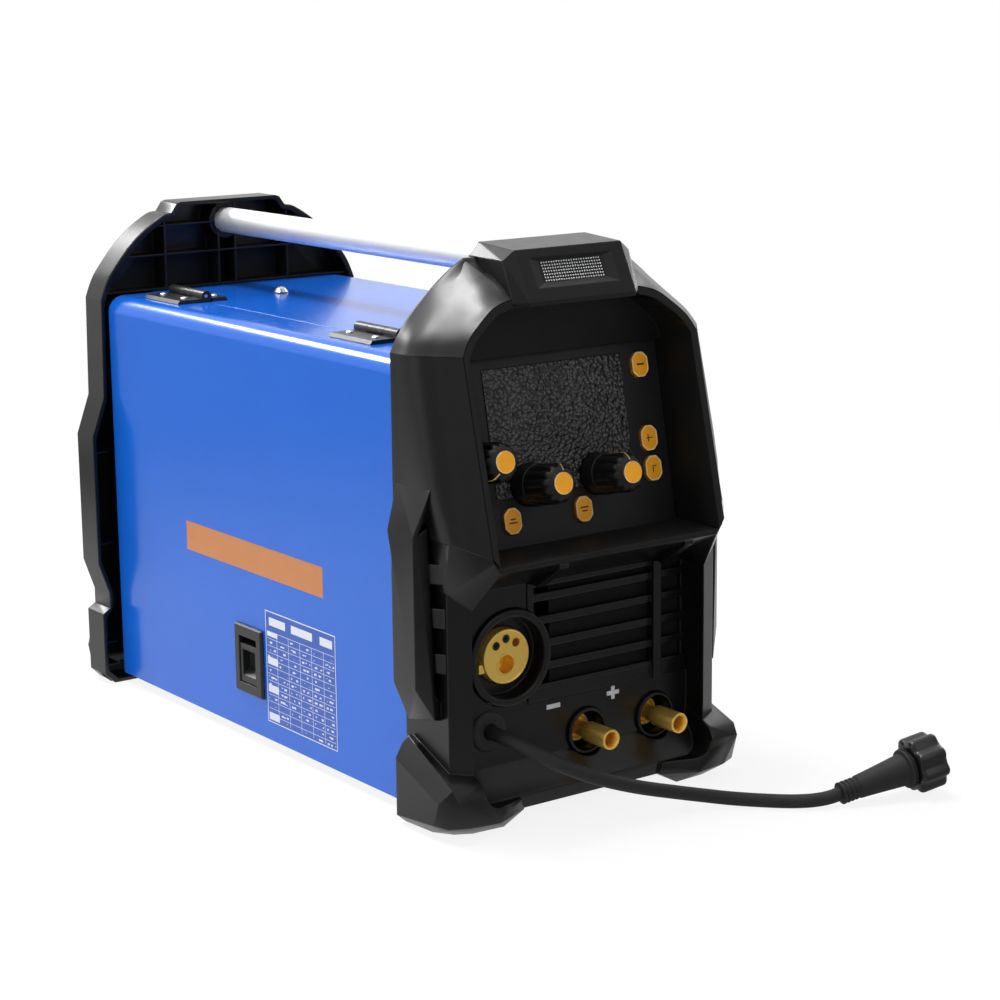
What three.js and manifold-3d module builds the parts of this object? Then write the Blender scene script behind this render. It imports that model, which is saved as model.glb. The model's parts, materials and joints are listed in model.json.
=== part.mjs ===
// Portable wire-feed welding machine: a sheet-steel case between two moulded end bezels, with a carry tube above.
// Millimetres, +Z up. The front faces -Y and the access door is on the -X side. Lengths along the machine are
// counted from datumY = 0, and the whole machine is moved at the end so that its middle stands on the origin.
import * as THREE from 'three';
import { ConvexGeometry } from 'three/addons/geometries/ConvexGeometry.js';
import { mergeVertices } from 'three/addons/utils/BufferGeometryUtils.js';
import Module from 'manifold-3d';

const wasm = await Module();
wasm.setup();

// ---------------------------------------------------------------- driving dimensions
const fit = 0.3;                 // gap between touching pieces
const runGap = 0.2;              // radial gap of a pin or shaft in its bore
const plasticWall = 3;

// sheet-steel case
const sheet = 1.5;
const coverHalfWidth = 110;
const coverBottom = 7.5;
const coverTop = 307.5;
const coverCorner = 13;
const coverFront = -30.6;
const coverRear = 399.5;
const seamX = -68;
const seamGap = 1;
const baseTop = 13.8;
const baseFront = -44;
const baseGap = 2;               // between the base plate's flanges and the case
const baseFlange = 16;
const baseSlotX = [-80, -55, -30];
const baseSlotY = [40, 110];
const baseSlotWidth = 8;
const dividerX = -2;
const dividerFoot = 18;
const dividerFront = -14;
const sideVentCount = 8;
const sideVentLength = 46;
const sideVentHeight = 4;
const sideVentPitch = 11;
const sideVentBottom = 120;
const sideVentRows = [52, 318];

// front bezel
const bezelRear = -19;
const bezelHalfWidth = 118.5;
const panelTopZ = 303.5;
const crownHalfWidth = 61;
const rimHalfWidth = 96;
const rimTopY = -67;
const rimTopZ = panelTopZ + 9;
const crownRise = 55.5;          // from the rim's corner up to the crown
const bezelTop = rimTopZ + crownRise;
const rimBottomZ = 187.5;
const rimLean = 0.24;            // how far the rim comes forward per millimetre down
const rimWidth = 4;
const hoodBottomZ = 196;
const sillFloorZ = 181;
const sillEdge = 3.5;
const columnHalfWidth = 112;
const columnInner = 97.6;
const columnFrontY = -75;
const columnOuterY = -68;
const columnTopZ = 162;
const columnTopInnerZ = 150;
const faceY = -57;               // lower face plate, where the sockets are
const faceUnderSillZ = 156;
const lipBottomZ = 9;
const lipTopZ = 18;
const lipY = -74;
const guardHalfWidth = 128;
const guardThickness = 10.5;
const guardFrontY = -55.6;
const guardRearY = -28;
const guardShoulderY = -24;      // above the step, the guard reaches this far back
const guardShoulderZ = 183;
const guardTopZ = 199;
const guardBottomZ = 98;
const guardTopTaperZ = 229;
const guardBottomTaperZ = 73;
const guardSlotBottomZ = 88;
const guardSlotTopZ = 214;
const guardRibZ = [108.5, 138.5, 167.5];
const guardRibHeight = 13;
const footHalfWidth = 126;
const footRootY = -26.5;
const footTopZ = 60;
const footSideZ = 45.5;
const footNoseZ = 37;
const footToeZ = 28.5;
const footFrontY = -87.5;
const footRecessCorner = 15;

// control panel
const panelTopY = -31;
const panelLean = 0.196;
const panelHalfWidth = 90;
const panelThickness = 3;
const ledge = 5;
const brandWallY = -36;
const displayHalfWidth = 57.5;
const displayBottomZ = 212.5;
const displayTopZ = panelTopZ - 7.5;
const displayThickness = 1.5;
const knobPlaces = [[-75, 238], [-31.4, 219.2], [26, 219.2]];
const knobNames = ['wire_speed_knob', 'voltage_knob', 'inductance_knob'];
const knobRadius = 13.5;
const knobFlutes = 14;
const knobFluteDepth = 1.2;
const knobSkirtRadius = 14.2;
const knobSkirtLength = 13;
const knobLength = 40;
const knobCapRadius = 7.6;
const knobCapHeight = 0.6;
const knobShaftRadius = 3;
const knobShaftLength = 9;
const buttonPlaces = [[73, panelTopZ - 16.3], [73.3, 237.7], [74, 217.3], [-48.3, 198], [10.9, 198.1]];
const buttonNames = ['mode_button', 'inch_button', 'purge_button', 'wire_size_button', 'material_button'];
const buttonWidth = 14;
const buttonHeight = 17.5;
const buttonCorner = 4;
const buttonProud = 2.6;
const buttonDepth = 4;
const boardOffset = 14;
const boardBottomZ = 192;
const boardTopZ = panelTopZ - 11.5;
const boardThickness = 2;
const potRadius = 8;

// torch socket, output sockets and changeover lead
const torchX = -55;
const torchZ = 108;
const torchRingRadius = 33;
const torchRingBore = 27.5;
const torchRingFront = -60;
const torchFaceY = -53.5;
const torchFaceRadius = 18.5;
const torchBodyRadius = 11;
const torchBodyRear = 32;
const torchWireHole = 6.3;
const torchPinHole = 3;
const torchPinCircle = 10.5;
const grilleLeft = -40;
const grilleBarZ = [81.8, 96.8, 112.5, 128.7, 144.5];
const grilleBarHeight = 5.3;
const grillePostX = 69.3;
const grillePostWidth = 7;
const grillePostProud = 3;
const grilleDepth = 4;
const grilleBottomZ = 73;
const screenThickness = 1;
const socketX = [8.9, 68.5];
const socketZ = 45.7;
const socketRingRadius = 16.2;
const socketRingBore = 13.6;
const socketRingFront = -60;
const socketRingRear = -34;
const socketTubeRadius = 7.1;
const socketTubeBore = 4;
const socketTubeMouth = 5.6;
const socketTubeTip = -85;
const socketTubeLength = 24.5;
const socketNeckRadius = 5.2;
const socketFlangeRadius = 10.5;
const socketFlangeDepth = 4;
const grommetX = -72.4;
const grommetZ = 60.5;
const grommetRadius = 14;
const leadRadius = 4.75;
const leadSides = 10;
const leadSteps = 24;
// where the lead lies, from the grommet to the plug
const leadRoute = [
  [-72.4, -51, 60.5], [-72.4, -57.5, 60.5], [-71.9, -66.5, 60.1], [-70, -76.3, 58.8], [-66.4, -85.5, 56.2],
  [-60.6, -94.2, 52.2], [-52.5, -101.7, 47], [-42.5, -107.7, 41.5], [-31.2, -112.1, 36], [-19.3, -115.2, 31],
  [-6.9, -117.2, 26.4], [5.3, -118.7, 22.2], [17.6, -120.2, 18.4], [30, -122.2, 14.9], [42.2, -125.1, 11.7],
  [54.2, -129.4, 8.9], [65.2, -135.5, 6.8], [75.6, -143.3, 5.6], [85.3, -152, 5.1], [94.4, -160.7, 5],
  [103, -168.1, 5.2], [112, -174.5, 5.9], [120.3, -178.6, 7.1], [127.4, -180.7, 8.6],
];
const plugAxis = new THREE.Vector3(67.3, -15.3, 14).normalize();
const plugBoot = [[7.9, 14], [10.6, 44], [11.2, 50], [13.6, 50.6], [13.6, 54]];
const plugRibRadius = 7.6;
const plugBootRibs = 4;
const plugRibPitch = 3.2;
const plugRibDepth = 1.1;
const plugLength = 70;
const plugNeckRadius = 11;
const plugRingStart = 55.5;
const plugRingEnd = 76;
const plugRingRadius = 19.6;
const plugRingLobes = 8;
const plugRingLobeDepth = 1.7;

// carry tube and cap
const tubeZ = bezelTop - 9.3;
const tubeRadius = 10;
const tubeBore = 8;
const tubeFront = -47;
const tubeRear = 404;
const tubeBoss = 14.5;
const capHalfWidth = 43.8;
const capFootHalfWidth = 52;
const capFrontTop = [-51, bezelTop + 7];
const capFrontBottom = [-67.6, bezelTop - 25.4];
const capRearTop = [-12.7, bezelTop + 9.5];
const capChamfer = [-49.6, bezelTop + 0.7];
const dishHalfWidth = 34;
const dishFloorHalfWidth = 26;
const dishTopZ = bezelTop + 1.3;
const dishBottomZ = bezelTop - 17.4;
const dishDepth = 2.4;

// rear bezel
const rearFront = 386;
const rearBack = 412;
const rearPlate = 3;
const rearFootBack = 427;
const rearRibDepth = 18;
const rearRibThickness = 1.6;
const rearRibX = [55.5, 7.5];
const rearRibZ = [bezelTop - 33.5, bezelTop - 11];
const rearSideRibZ = [14, 32, 112, 185];
const rearSideRibDepth = 20;
const fanX = 52;
const fanZ = 165;
const fanSize = 92;
const fanDepth = 25;
const fanOpening = 44;
const fanHub = 18;
const fanBladeReach = 42;
const fanBlades = 7;
const grilleRingCount = 4;
const grilleRingPitch = 9.5;
const switchX = 52;
const switchZ = 262;
const switchWidth = 28;
const switchHeight = 22;
const glandX = 52;
const glandZ = 78;
const gasX = -62;
const gasZ = 70;

// hinges, on the roof seam
const hingeStarts = [44, 306];
const hingeNames = ['front', 'rear'];
const hingeLength = 52;
const hingeDoorReach = 25;
const hingeFixedReach = 18.5;
const hingeLeafThickness = 2.6;
const knuckleRadius = 4.2;
const knuckleLength = 16;
const hingePinRadius = 1.8;

// door latch
const latchY = [166, 204];
const latchZ = [36, 87.5];
const latchPlate = 2.7;
const latchOverlap = 3;          // how far the frame covers the edge of its hole
const latchBody = 10;
const latchWindowY = [173, 197];
const latchWindowZ = [44, 79];
const latchSlider = 29;
const keeperZ = 56;

// wire spool and feed unit
const spoolY = 268;
const spoolZ = 150;
const spoolRadius = 100;
const spoolWidth = 55;
const spoolBore = 25.7;
const spoolInnerX = -16;
const spoolFlange = 3;
const spoolCore = 46;
const wireRadius = 86;
const hubRadius = 25;
const feedY = 92;
const wireRadiusInFeed = 0.4;
const driveRollRadius = 15;
const pressRollRadius = 14;
const rollWidth = 10;
const feedPlateX = [-40, -32];
const armPivot = [130, 139];
const armTipY = 52;
const gearBox = [-31.7, -2.3];
const motorRadius = 21;
const motorEnd = 52;
const gearBoxY = [58, 128];
const gearBoxZ = [74, 140];
const feedPlateY = [44, 142];
const feedPlateZ = [66, 143.5];

// power side
const sinkY = [150, 330];
const sinkZ = [110, 226];
const sinkPlate = 5;
const sinkDepth = 44;
const sinkFin = 3;
const sinkFins = 9;
const inverterX = [20, 102];
const inverterY = [100, 350];
const inverterPost = 10;
const inverterPostRadius = 3;
const canRadius = 15;
const canHeight = 46;
const canPitch = 36;
const chokeX = [26, 96];
const chokeY = [0, 76];
const chokeHeight = 62;
const roofScrewX = 4;
const roofScrewY = 318;

// ---------------------------------------------------------------- materials
const finish = (color, roughness, metalness) => new THREE.MeshStandardMaterial({ color, roughness, metalness });
const bluePaint = finish(0x2f6fd8, 0.3, 0.1);
const blackPlastic = finish(0x29292b, 0.45, 0);
const knobPlastic = finish(0x1a1a1c, 0.35, 0);
const displayFilm = finish(0x222224, 0.3, 0);
const orangePlastic = finish(0xf5a30f, 0.45, 0);
const satinTube = finish(0xc8c9cc, 0.35, 0.9);
const zincSteel = finish(0xa9adb1, 0.45, 0.85);
const blackZinc = finish(0x333338, 0.4, 0.8);
const brass = finish(0xd8b04a, 0.3, 0.95);
const rubber = finish(0x1e1e20, 0.75, 0);
const circuitGreen = finish(0x1f5a3a, 0.6, 0);
const bareAluminium = finish(0xb9bcc0, 0.5, 0.9);
const wireCopper = finish(0xb9734a, 0.35, 0.9);
const greyPlastic = finish(0x55585c, 0.6, 0);

// ---------------------------------------------------------------- solids
// Closes a geometry into a solid, with its faces turned outwards.
function solidOf(geometry) {
  const bare = geometry.clone();
  bare.deleteAttribute('normal');
  bare.deleteAttribute('uv');
  const merged = mergeVertices(bare, 1e-4);
  const p = merged.attributes.position;
  const index = merged.index.array;
  const faces = [];
  let volume = 0;
  const [a, b, c] = [new THREE.Vector3(), new THREE.Vector3(), new THREE.Vector3()];
  for (let i = 0; i < index.length; i += 3) {
    const [i0, i1, i2] = [index[i], index[i + 1], index[i + 2]];
    if (i0 === i1 || i1 === i2 || i2 === i0) continue;
    faces.push([i0, i1, i2]);
    a.fromBufferAttribute(p, i0);
    b.fromBufferAttribute(p, i1);
    c.fromBufferAttribute(p, i2);
    volume += a.dot(b.cross(c));
  }
  const triVerts = Uint32Array.from(faces.flatMap((f) => (volume < 0 ? [f[0], f[2], f[1]] : f)));
  return new wasm.Manifold(new wasm.Mesh({ numProp: 3, vertProperties: Float32Array.from(p.array), triVerts }));
}

function geometryOf(solid) {
  const mesh = solid.getMesh();
  const geometry = new THREE.BufferGeometry();
  geometry.setAttribute('position', new THREE.BufferAttribute(Float32Array.from(mesh.vertProperties), 3));
  geometry.setIndex(new THREE.BufferAttribute(Uint32Array.from(mesh.triVerts), 1));
  geometry.computeVertexNormals();
  return geometry;
}

const join = (solids) => solids.reduce((all, solid) => all.add(solid));
const cut = (solid, tools) => tools.reduce((rest, tool) => rest.subtract(tool), solid);

function block(x0, x1, y0, y1, z0, z1) {
  const box = new THREE.BoxGeometry(x1 - x0, y1 - y0, z1 - z0);
  return solidOf(box.translate((x0 + x1) / 2, (y0 + y1) / 2, (z0 + z1) / 2));
}

const hull = (points) => solidOf(new ConvexGeometry(points.map((p) => new THREE.Vector3(...p))));
const mirrored = (points) => points.flatMap(([x, y, z]) => [[x, y, z], [-x, y, z]]);
const bothSides = (points) => join([1, -1].map((side) => hull(points.map(([x, y, z]) => [side * x, y, z]))));

const shapeOf = (outline) => new THREE.Shape(outline.map(([u, v]) => new THREE.Vector2(u, v)));

// A flat outline in X-Z, carried along Y from y0 to y1.
function alongY(shape, y0, y1) {
  const geometry = new THREE.ExtrudeGeometry(shape, { depth: y1 - y0, bevelEnabled: false, curveSegments: 6 });
  return solidOf(geometry.rotateX(Math.PI / 2).translate(0, y1, 0));
}

// A profile of [radius, distance] pairs, turned about the line that starts at origin and runs along direction.
function turned(profile, origin, direction, sides = 24) {
  const lathe = new THREE.LatheGeometry(profile.map(([r, t]) => new THREE.Vector2(r, t)), sides);
  const way = new THREE.Vector3(...direction).normalize();
  lathe.applyQuaternion(new THREE.Quaternion().setFromUnitVectors(new THREE.Vector3(0, 1, 0), way));
  return solidOf(lathe.translate(...origin));
}

const rod = (radius, origin, direction, length, sides) =>
  turned([[0, 0], [radius, 0], [radius, length], [0, length]], origin, direction, sides);
const pipe = (radius, bore, origin, direction, length, sides) =>
  turned([[bore, 0], [radius, 0], [radius, length], [bore, length], [bore, 0]], origin, direction, sides);

const baseHalfWidth = coverHalfWidth - sheet - baseGap;
const doorFront = bezelRear + fit;
const doorRear = rearFront - fit;

const machine = new THREE.Group();

function piece(name, solid, material) {
  const mesh = new THREE.Mesh(solid.isBufferGeometry ? solid : geometryOf(solid), material);
  mesh.name = name;
  machine.add(mesh);
}

// ---------------------------------------------------------------- sheet-steel case
// The case section, open below: up one side, round the corner and along the roof, one sheet thick.
function caseSheet(side, roofEnd) {
  const outer = coverHalfWidth * side;
  const inner = (coverHalfWidth - sheet) * side;
  const bendX = (coverHalfWidth - coverCorner) * side;
  const bendZ = coverTop - coverCorner;
  const shape = new THREE.Shape();
  shape.moveTo(outer, coverBottom);
  shape.lineTo(outer, bendZ);
  shape.absarc(bendX, bendZ, coverCorner, side > 0 ? 0 : Math.PI, Math.PI / 2, side < 0);
  shape.lineTo(roofEnd, coverTop);
  shape.lineTo(roofEnd, coverTop - sheet);
  shape.lineTo(bendX, coverTop - sheet);
  shape.absarc(bendX, bendZ, coverCorner - sheet, Math.PI / 2, side > 0 ? 0 : Math.PI, side > 0);
  shape.lineTo(inner, coverBottom);
  return shape;
}

function fixedCover() {
  const slots = sideVentRows.flatMap((y) => Array.from({ length: sideVentCount }, (_, i) => {
    const z = sideVentBottom + i * sideVentPitch;
    return block(coverHalfWidth - 5, coverHalfWidth + 5, y - sideVentLength / 2, y + sideVentLength / 2,
      z, z + sideVentHeight);
  }));
  return cut(alongY(caseSheet(1, seamX + seamGap / 2), coverFront, coverRear), slots);
}

function sideDoor() {
  const [[y0, y1], [z0, z1]] = [latchY, latchZ];
  const edge = latchOverlap;
  const hole = block(-coverHalfWidth - 5, -coverHalfWidth + 5, y0 + edge, y1 - edge, z0 + edge, z1 - edge);
  return alongY(caseSheet(-1, seamX - seamGap / 2), doorFront, doorRear).subtract(hole);
}

function basePlate() {
  const low = baseTop - sheet;
  const tray = block(-baseHalfWidth, baseHalfWidth, baseFront, coverRear, low, baseTop);
  const flanges = [-1, 1].map((side) => {
    const [x0, x1] = [side * baseHalfWidth, side * (baseHalfWidth - sheet)];
    return block(Math.min(x0, x1), Math.max(x0, x1), bezelRear, rearFront, low, low + baseFlange);
  });
  const [near, far] = baseSlotY;
  const half = baseSlotWidth / 2;
  const slots = baseSlotX.map((x) => block(x - half, x + half, near, far, low - 5, baseTop + 5));
  return cut(join([tray, ...flanges]), slots);
}

function dividerWall() {
  const [low, rear] = [baseTop + fit, coverRear - 2];
  const wall = block(dividerX, dividerX + sheet, dividerFront, rear, low, coverTop - sheet - fit);
  const foot = block(dividerX, dividerX + dividerFoot, dividerFront, rear, low, low + sheet);
  const motorHole = rod(motorRadius + 1.5, [dividerX - 5, feedY, torchZ], [1, 0, 0], 12);
  return join([wall, foot]).subtract(motorHole);
}

// ---------------------------------------------------------------- front bezel
const rimY = (z) => rimTopY - (rimTopZ - z) * rimLean;
const sillFrontY = rimY(rimBottomZ);
const panelY = (z) => panelTopY - (panelTopZ - z) * panelLean;

// A height between the rim's corner, 0, and the crown, 1.
const rise = (share) => rimTopZ + share * (bezelTop - rimTopZ);

// Half outlines of the hood, from its bottom corner up and over to the crown, moved inwards by the inset.
function hoodRings(inset) {
  const rear = [
    [bezelHalfWidth, hoodBottomZ], [bezelHalfWidth, rimTopZ], [112.6, rise(0.196)], [103, rise(0.409)],
    [87.2, rise(0.676)], [72, rise(0.883)], [crownHalfWidth, bezelTop],
  ];
  const flank = [
    [113.5, hoodBottomZ], [118, hoodBottomZ + 34], [118, rimTopZ], [111, rise(0.18)], [97.5, rise(0.396)],
    [80.5, rise(0.649)], [64.5, rise(0.847)], [56, rise(0.892)],
  ];
  const brow = [
    [108.5, hoodBottomZ - 2], [108.5, rimTopZ], [101.5, rise(0.171)], [89.5, rise(0.369)], [76, rise(0.568)],
    [64, rise(0.712)], [54, rise(0.775)],
  ];
  const lip = [
    [100.5, hoodBottomZ - 6], [100.5, rimTopZ], [94, rise(0.177)], [83.5, rise(0.355)], [70.5, rise(0.532)],
    [54, rise(0.658)],
  ];
  const rim = [
    [rimHalfWidth, rimBottomZ], [rimHalfWidth, rimTopZ], [89.5, rise(0.18)], [79.5, rise(0.342)],
    [66, rise(0.508)], [50, rise(0.586)],
  ];
  const shrink = (ring, place) => ring.map(([x, z]) => {
    const low = z < hoodBottomZ + 1;
    return [x - inset, place(z), low ? z + inset : z - inset * 0.9];
  });
  return mirrored([
    ...shrink(rear, () => (inset ? bezelRear + 6 : bezelRear)),
    ...shrink(flank, (z) => rimY(z) + 28 + inset),
    ...shrink(brow, (z) => rimY(z) + 15 + inset),
    ...shrink(lip, (z) => rimY(z) + 5.5 + inset),
    ...shrink(rim, (z) => rimY(z) + inset),
  ]);
}

// The hood's mouth: the space in front of the control panel, and above it the space in front of the plain wall.
function mouth(grow, back) {
  const w = rimHalfWidth - rimWidth + grow;
  const d = panelHalfWidth + grow;
  const out = grow ? 0 : -3;
  const floor = sillFloorZ - grow;
  const front = [[w, floor], [w, panelTopZ]];
  const lower = mirrored([
    ...front.map(([x, z]) => [x, rimY(z) + out, z]),
    [d, panelY(floor) + back, floor],
    [d, panelY(panelTopZ) + back, panelTopZ],
  ]);
  const arch = [
    [w, panelTopZ - 1], [w, rimTopZ - 1.5 + grow], [86 + grow, rise(0.135) + grow],
    [77 + grow, rise(0.279) + grow], [64 + grow, rise(0.436) + grow], [50 + grow, rise(0.506) + grow],
  ];
  const upper = mirrored([
    ...arch.map(([x, z]) => [x, rimY(z) + out, z]),
    ...arch.map(([x, z]) => [x - 2, brandWallY + (grow ? plasticWall + 2 : 0), z - 2]),
  ]);
  return hull(lower).add(hull(upper));
}

function bezelFacets() {
  const cheek = [
    [bezelHalfWidth - 2, bezelRear, hoodBottomZ + 4], [bezelHalfWidth - 5.5, rimY(hoodBottomZ) + 25, hoodBottomZ],
    [rimHalfWidth, sillFrontY, rimBottomZ], [90, sillFrontY, sillFloorZ - sillEdge],
    [columnInner, columnFrontY, columnTopInnerZ], [columnHalfWidth, columnOuterY - 1, columnTopZ],
    [columnHalfWidth, bezelRear, columnTopZ], [columnInner, bezelRear, columnTopInnerZ],
    [88, faceY + 3, sillFloorZ - sillEdge - 8],
  ];
  const sill = mirrored([
    [90, sillFrontY, sillFloorZ - sillEdge], [rimHalfWidth - 1, sillFrontY, sillFloorZ + 3],
    [columnInner + 1, faceY, faceUnderSillZ], [columnInner + 1, faceY + plasticWall, faceUnderSillZ],
    [columnInner + 1, faceY + plasticWall, hoodBottomZ + 2],
  ]);
  return bothSides(cheek).add(hull(sill));
}

// Ribs that carry the grille's two uprights on, along the sloping underside of the sill.
function sillRibs() {
  const centres = [grilleLeft + grillePostWidth / 2, grillePostX];
  const slope = [
    [faceY, faceUnderSillZ - 6], [faceY - grillePostProud, faceUnderSillZ - 6],
    [sillFrontY + 4, sillFloorZ - sillEdge - 5], [sillFrontY + 4, sillFloorZ - sillEdge],
    [faceY, faceUnderSillZ + 6],
  ];
  return join(centres.map((x) => hull([-1, 1].flatMap((side) =>
    slope.map(([y, z]) => [x + side * grillePostWidth / 2, y, z])))));
}

function bezelLower() {
  const column = [
    [columnInner, columnFrontY, lipBottomZ], [columnInner, columnFrontY, columnTopInnerZ],
    [columnHalfWidth, columnOuterY, lipBottomZ], [columnHalfWidth, columnOuterY, columnTopZ],
    [columnInner, bezelRear, lipBottomZ], [columnInner, bezelRear, columnTopZ],
    [columnHalfWidth, bezelRear, lipBottomZ], [columnHalfWidth, bezelRear, columnTopZ],
  ];
  const plate = block(-columnInner - 1, columnInner + 1, faceY, faceY + plasticWall, lipBottomZ, faceUnderSillZ + 6);
  const lip = hull(mirrored([
    [columnInner + 1, faceY + plasticWall, 36], [columnInner + 1, faceY, 36], [columnInner + 1, lipY + 5, 22],
    [columnInner + 1, lipY, lipTopZ], [columnInner + 1, lipY, lipBottomZ],
    [columnInner + 1, faceY + plasticWall, lipBottomZ],
  ]));
  const floor = block(-columnInner - 1, columnInner + 1, lipY + 3, bezelRear, lipBottomZ, lipBottomZ + plasticWall);
  return join([bothSides(column), plate, lip, floor]);
}

// One pair of feet, shared by both bezels. A foot runs from its root to its tip, flares outwards, has a rounded
// toe and thins out inwards into the lip between the feet.
function footBlock(root, tip) {
  const outer = footHalfWidth;
  const from = (distance) => tip - Math.sign(tip - root) * distance;
  return bothSides([
    [outer, root, 6], [outer, root, footSideZ], [outer, from(12), footToeZ - 2], [outer, from(18.5), 10],
    [outer - 5.5, root, footTopZ - 5], [outer - 6, from(5.5), footNoseZ - 1], [outer - 7.5, from(0), footToeZ],
    [outer - 7, root, 0], [outer - 9, from(32.5), 0], [outer - 17, from(20), 0], [outer - 28, from(14), 0],
    [outer - 5, from(8.5), 9], [outer - 18, from(2), 9], [outer - 41, from(1), 8],
    [outer - 10, root, footTopZ - 1], [outer - 28, root, footTopZ], [outer - 28, from(5.5), footNoseZ],
    [outer - 30, from(0.5), footToeZ + 1], [outer - 52, root, 0], [outer - 52, from(12.5), 0],
    [outer - 68, from(11.5), lipBottomZ], [outer - 66, from(11), lipBottomZ + 7.5],
    [outer - 68, root, lipBottomZ], [outer - 66, root, lipBottomZ + 7.5],
  ]);
}

// The space between the front feet, above the lip, with round lower corners.
function footRecess() {
  const [w, low, r] = [columnInner - 0.6, lipTopZ - 0.6, footRecessCorner];
  const shape = new THREE.Shape();
  shape.moveTo(-w, footTopZ + 20);
  shape.lineTo(-w, low + r);
  shape.absarc(-w + r, low + r, r, Math.PI, 1.5 * Math.PI, false);
  shape.lineTo(w - r, low);
  shape.absarc(w - r, low + r, r, 1.5 * Math.PI, 2 * Math.PI, false);
  shape.lineTo(w, footTopZ + 20);
  return alongY(shape, footFrontY - 10, bezelRear);
}

function guards() {
  const [outer, inner, front, rear] = [guardHalfWidth, columnHalfWidth - 1, guardFrontY, guardRearY];
  const lower = [
    ...[guardTopZ, guardBottomZ].flatMap((z) => [
      [outer, rear - 1, z], [outer, front + 1.5, z], [outer - 2, rear, z], [outer - 2, front, z],
    ]),
    [bezelHalfWidth, rear - 4, guardBottomTaperZ - 1], [bezelHalfWidth, front - 6, guardBottomTaperZ + 5],
    [inner, rear - 4, guardBottomTaperZ - 1], [inner, front - 4, guardBottomTaperZ + 3],
    [inner, rear, guardTopZ + 8], [inner, front, guardTopZ + 8],
  ];
  const shoulder = [
    [outer, guardShoulderY - 1, guardTopZ], [outer, front + 1.5, guardTopZ], [outer - 2, guardShoulderY, guardTopZ],
    [outer, rear - 1, guardShoulderZ], [outer, rear - 9, guardShoulderZ], [inner, rear, guardShoulderZ],
    [bezelHalfWidth, guardShoulderY, guardTopTaperZ + 2], [bezelHalfWidth, front - 5, guardTopTaperZ],
    [inner, guardShoulderY, guardTopTaperZ - 4], [inner, front - 3, guardTopTaperZ - 4],
    [outer - 2, front, guardTopZ],
  ];
  return bothSides(lower).add(bothSides(shoulder));
}

// The slot between each guard and its column.
function guardSlots() {
  const [inner, outer] = [columnHalfWidth, guardHalfWidth - guardThickness];
  return bothSides([guardFrontY - 40, guardRearY - plasticWall].flatMap((y) => [
    [inner, y, guardSlotBottomZ], [inner, y, guardSlotTopZ - 10], [outer, y, guardSlotTopZ],
    [outer, y, guardSlotBottomZ + 8],
  ]));
}

// Ribs across the slots, from the guard's front edge to the column's.
function guardRibs() {
  const [inner, outer] = [columnHalfWidth - 1, guardHalfWidth - guardThickness + 1];
  return join(guardRibZ.map((low) => bothSides([low, low + guardRibHeight].flatMap((z) => [
    [inner, columnOuterY + 1, z], [inner, guardRearY - 1, z], [outer, guardFrontY + 1, z], [outer, guardRearY - 1, z],
  ]))));
}

function caseOpening(y0, y1, clearance) {
  const outer = coverHalfWidth + clearance;
  const left = -baseHalfWidth - clearance;
  const roofStep = seamX + seamGap / 2 - fit;
  const top = coverTop + clearance;
  const shape = new THREE.Shape();
  shape.moveTo(left, lipBottomZ + plasticWall);
  shape.lineTo(baseHalfWidth + clearance, lipBottomZ + plasticWall);
  shape.lineTo(baseHalfWidth + clearance, coverBottom - clearance);
  shape.lineTo(outer, coverBottom - clearance);
  shape.lineTo(outer, coverTop - coverCorner);
  shape.absarc(coverHalfWidth - coverCorner, coverTop - coverCorner, coverCorner + clearance, 0, Math.PI / 2, false);
  shape.lineTo(roofStep, top);
  shape.lineTo(roofStep, coverTop - 5);
  shape.lineTo(left, coverTop - 5);
  return alongY(shape, y0, y1);
}

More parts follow.
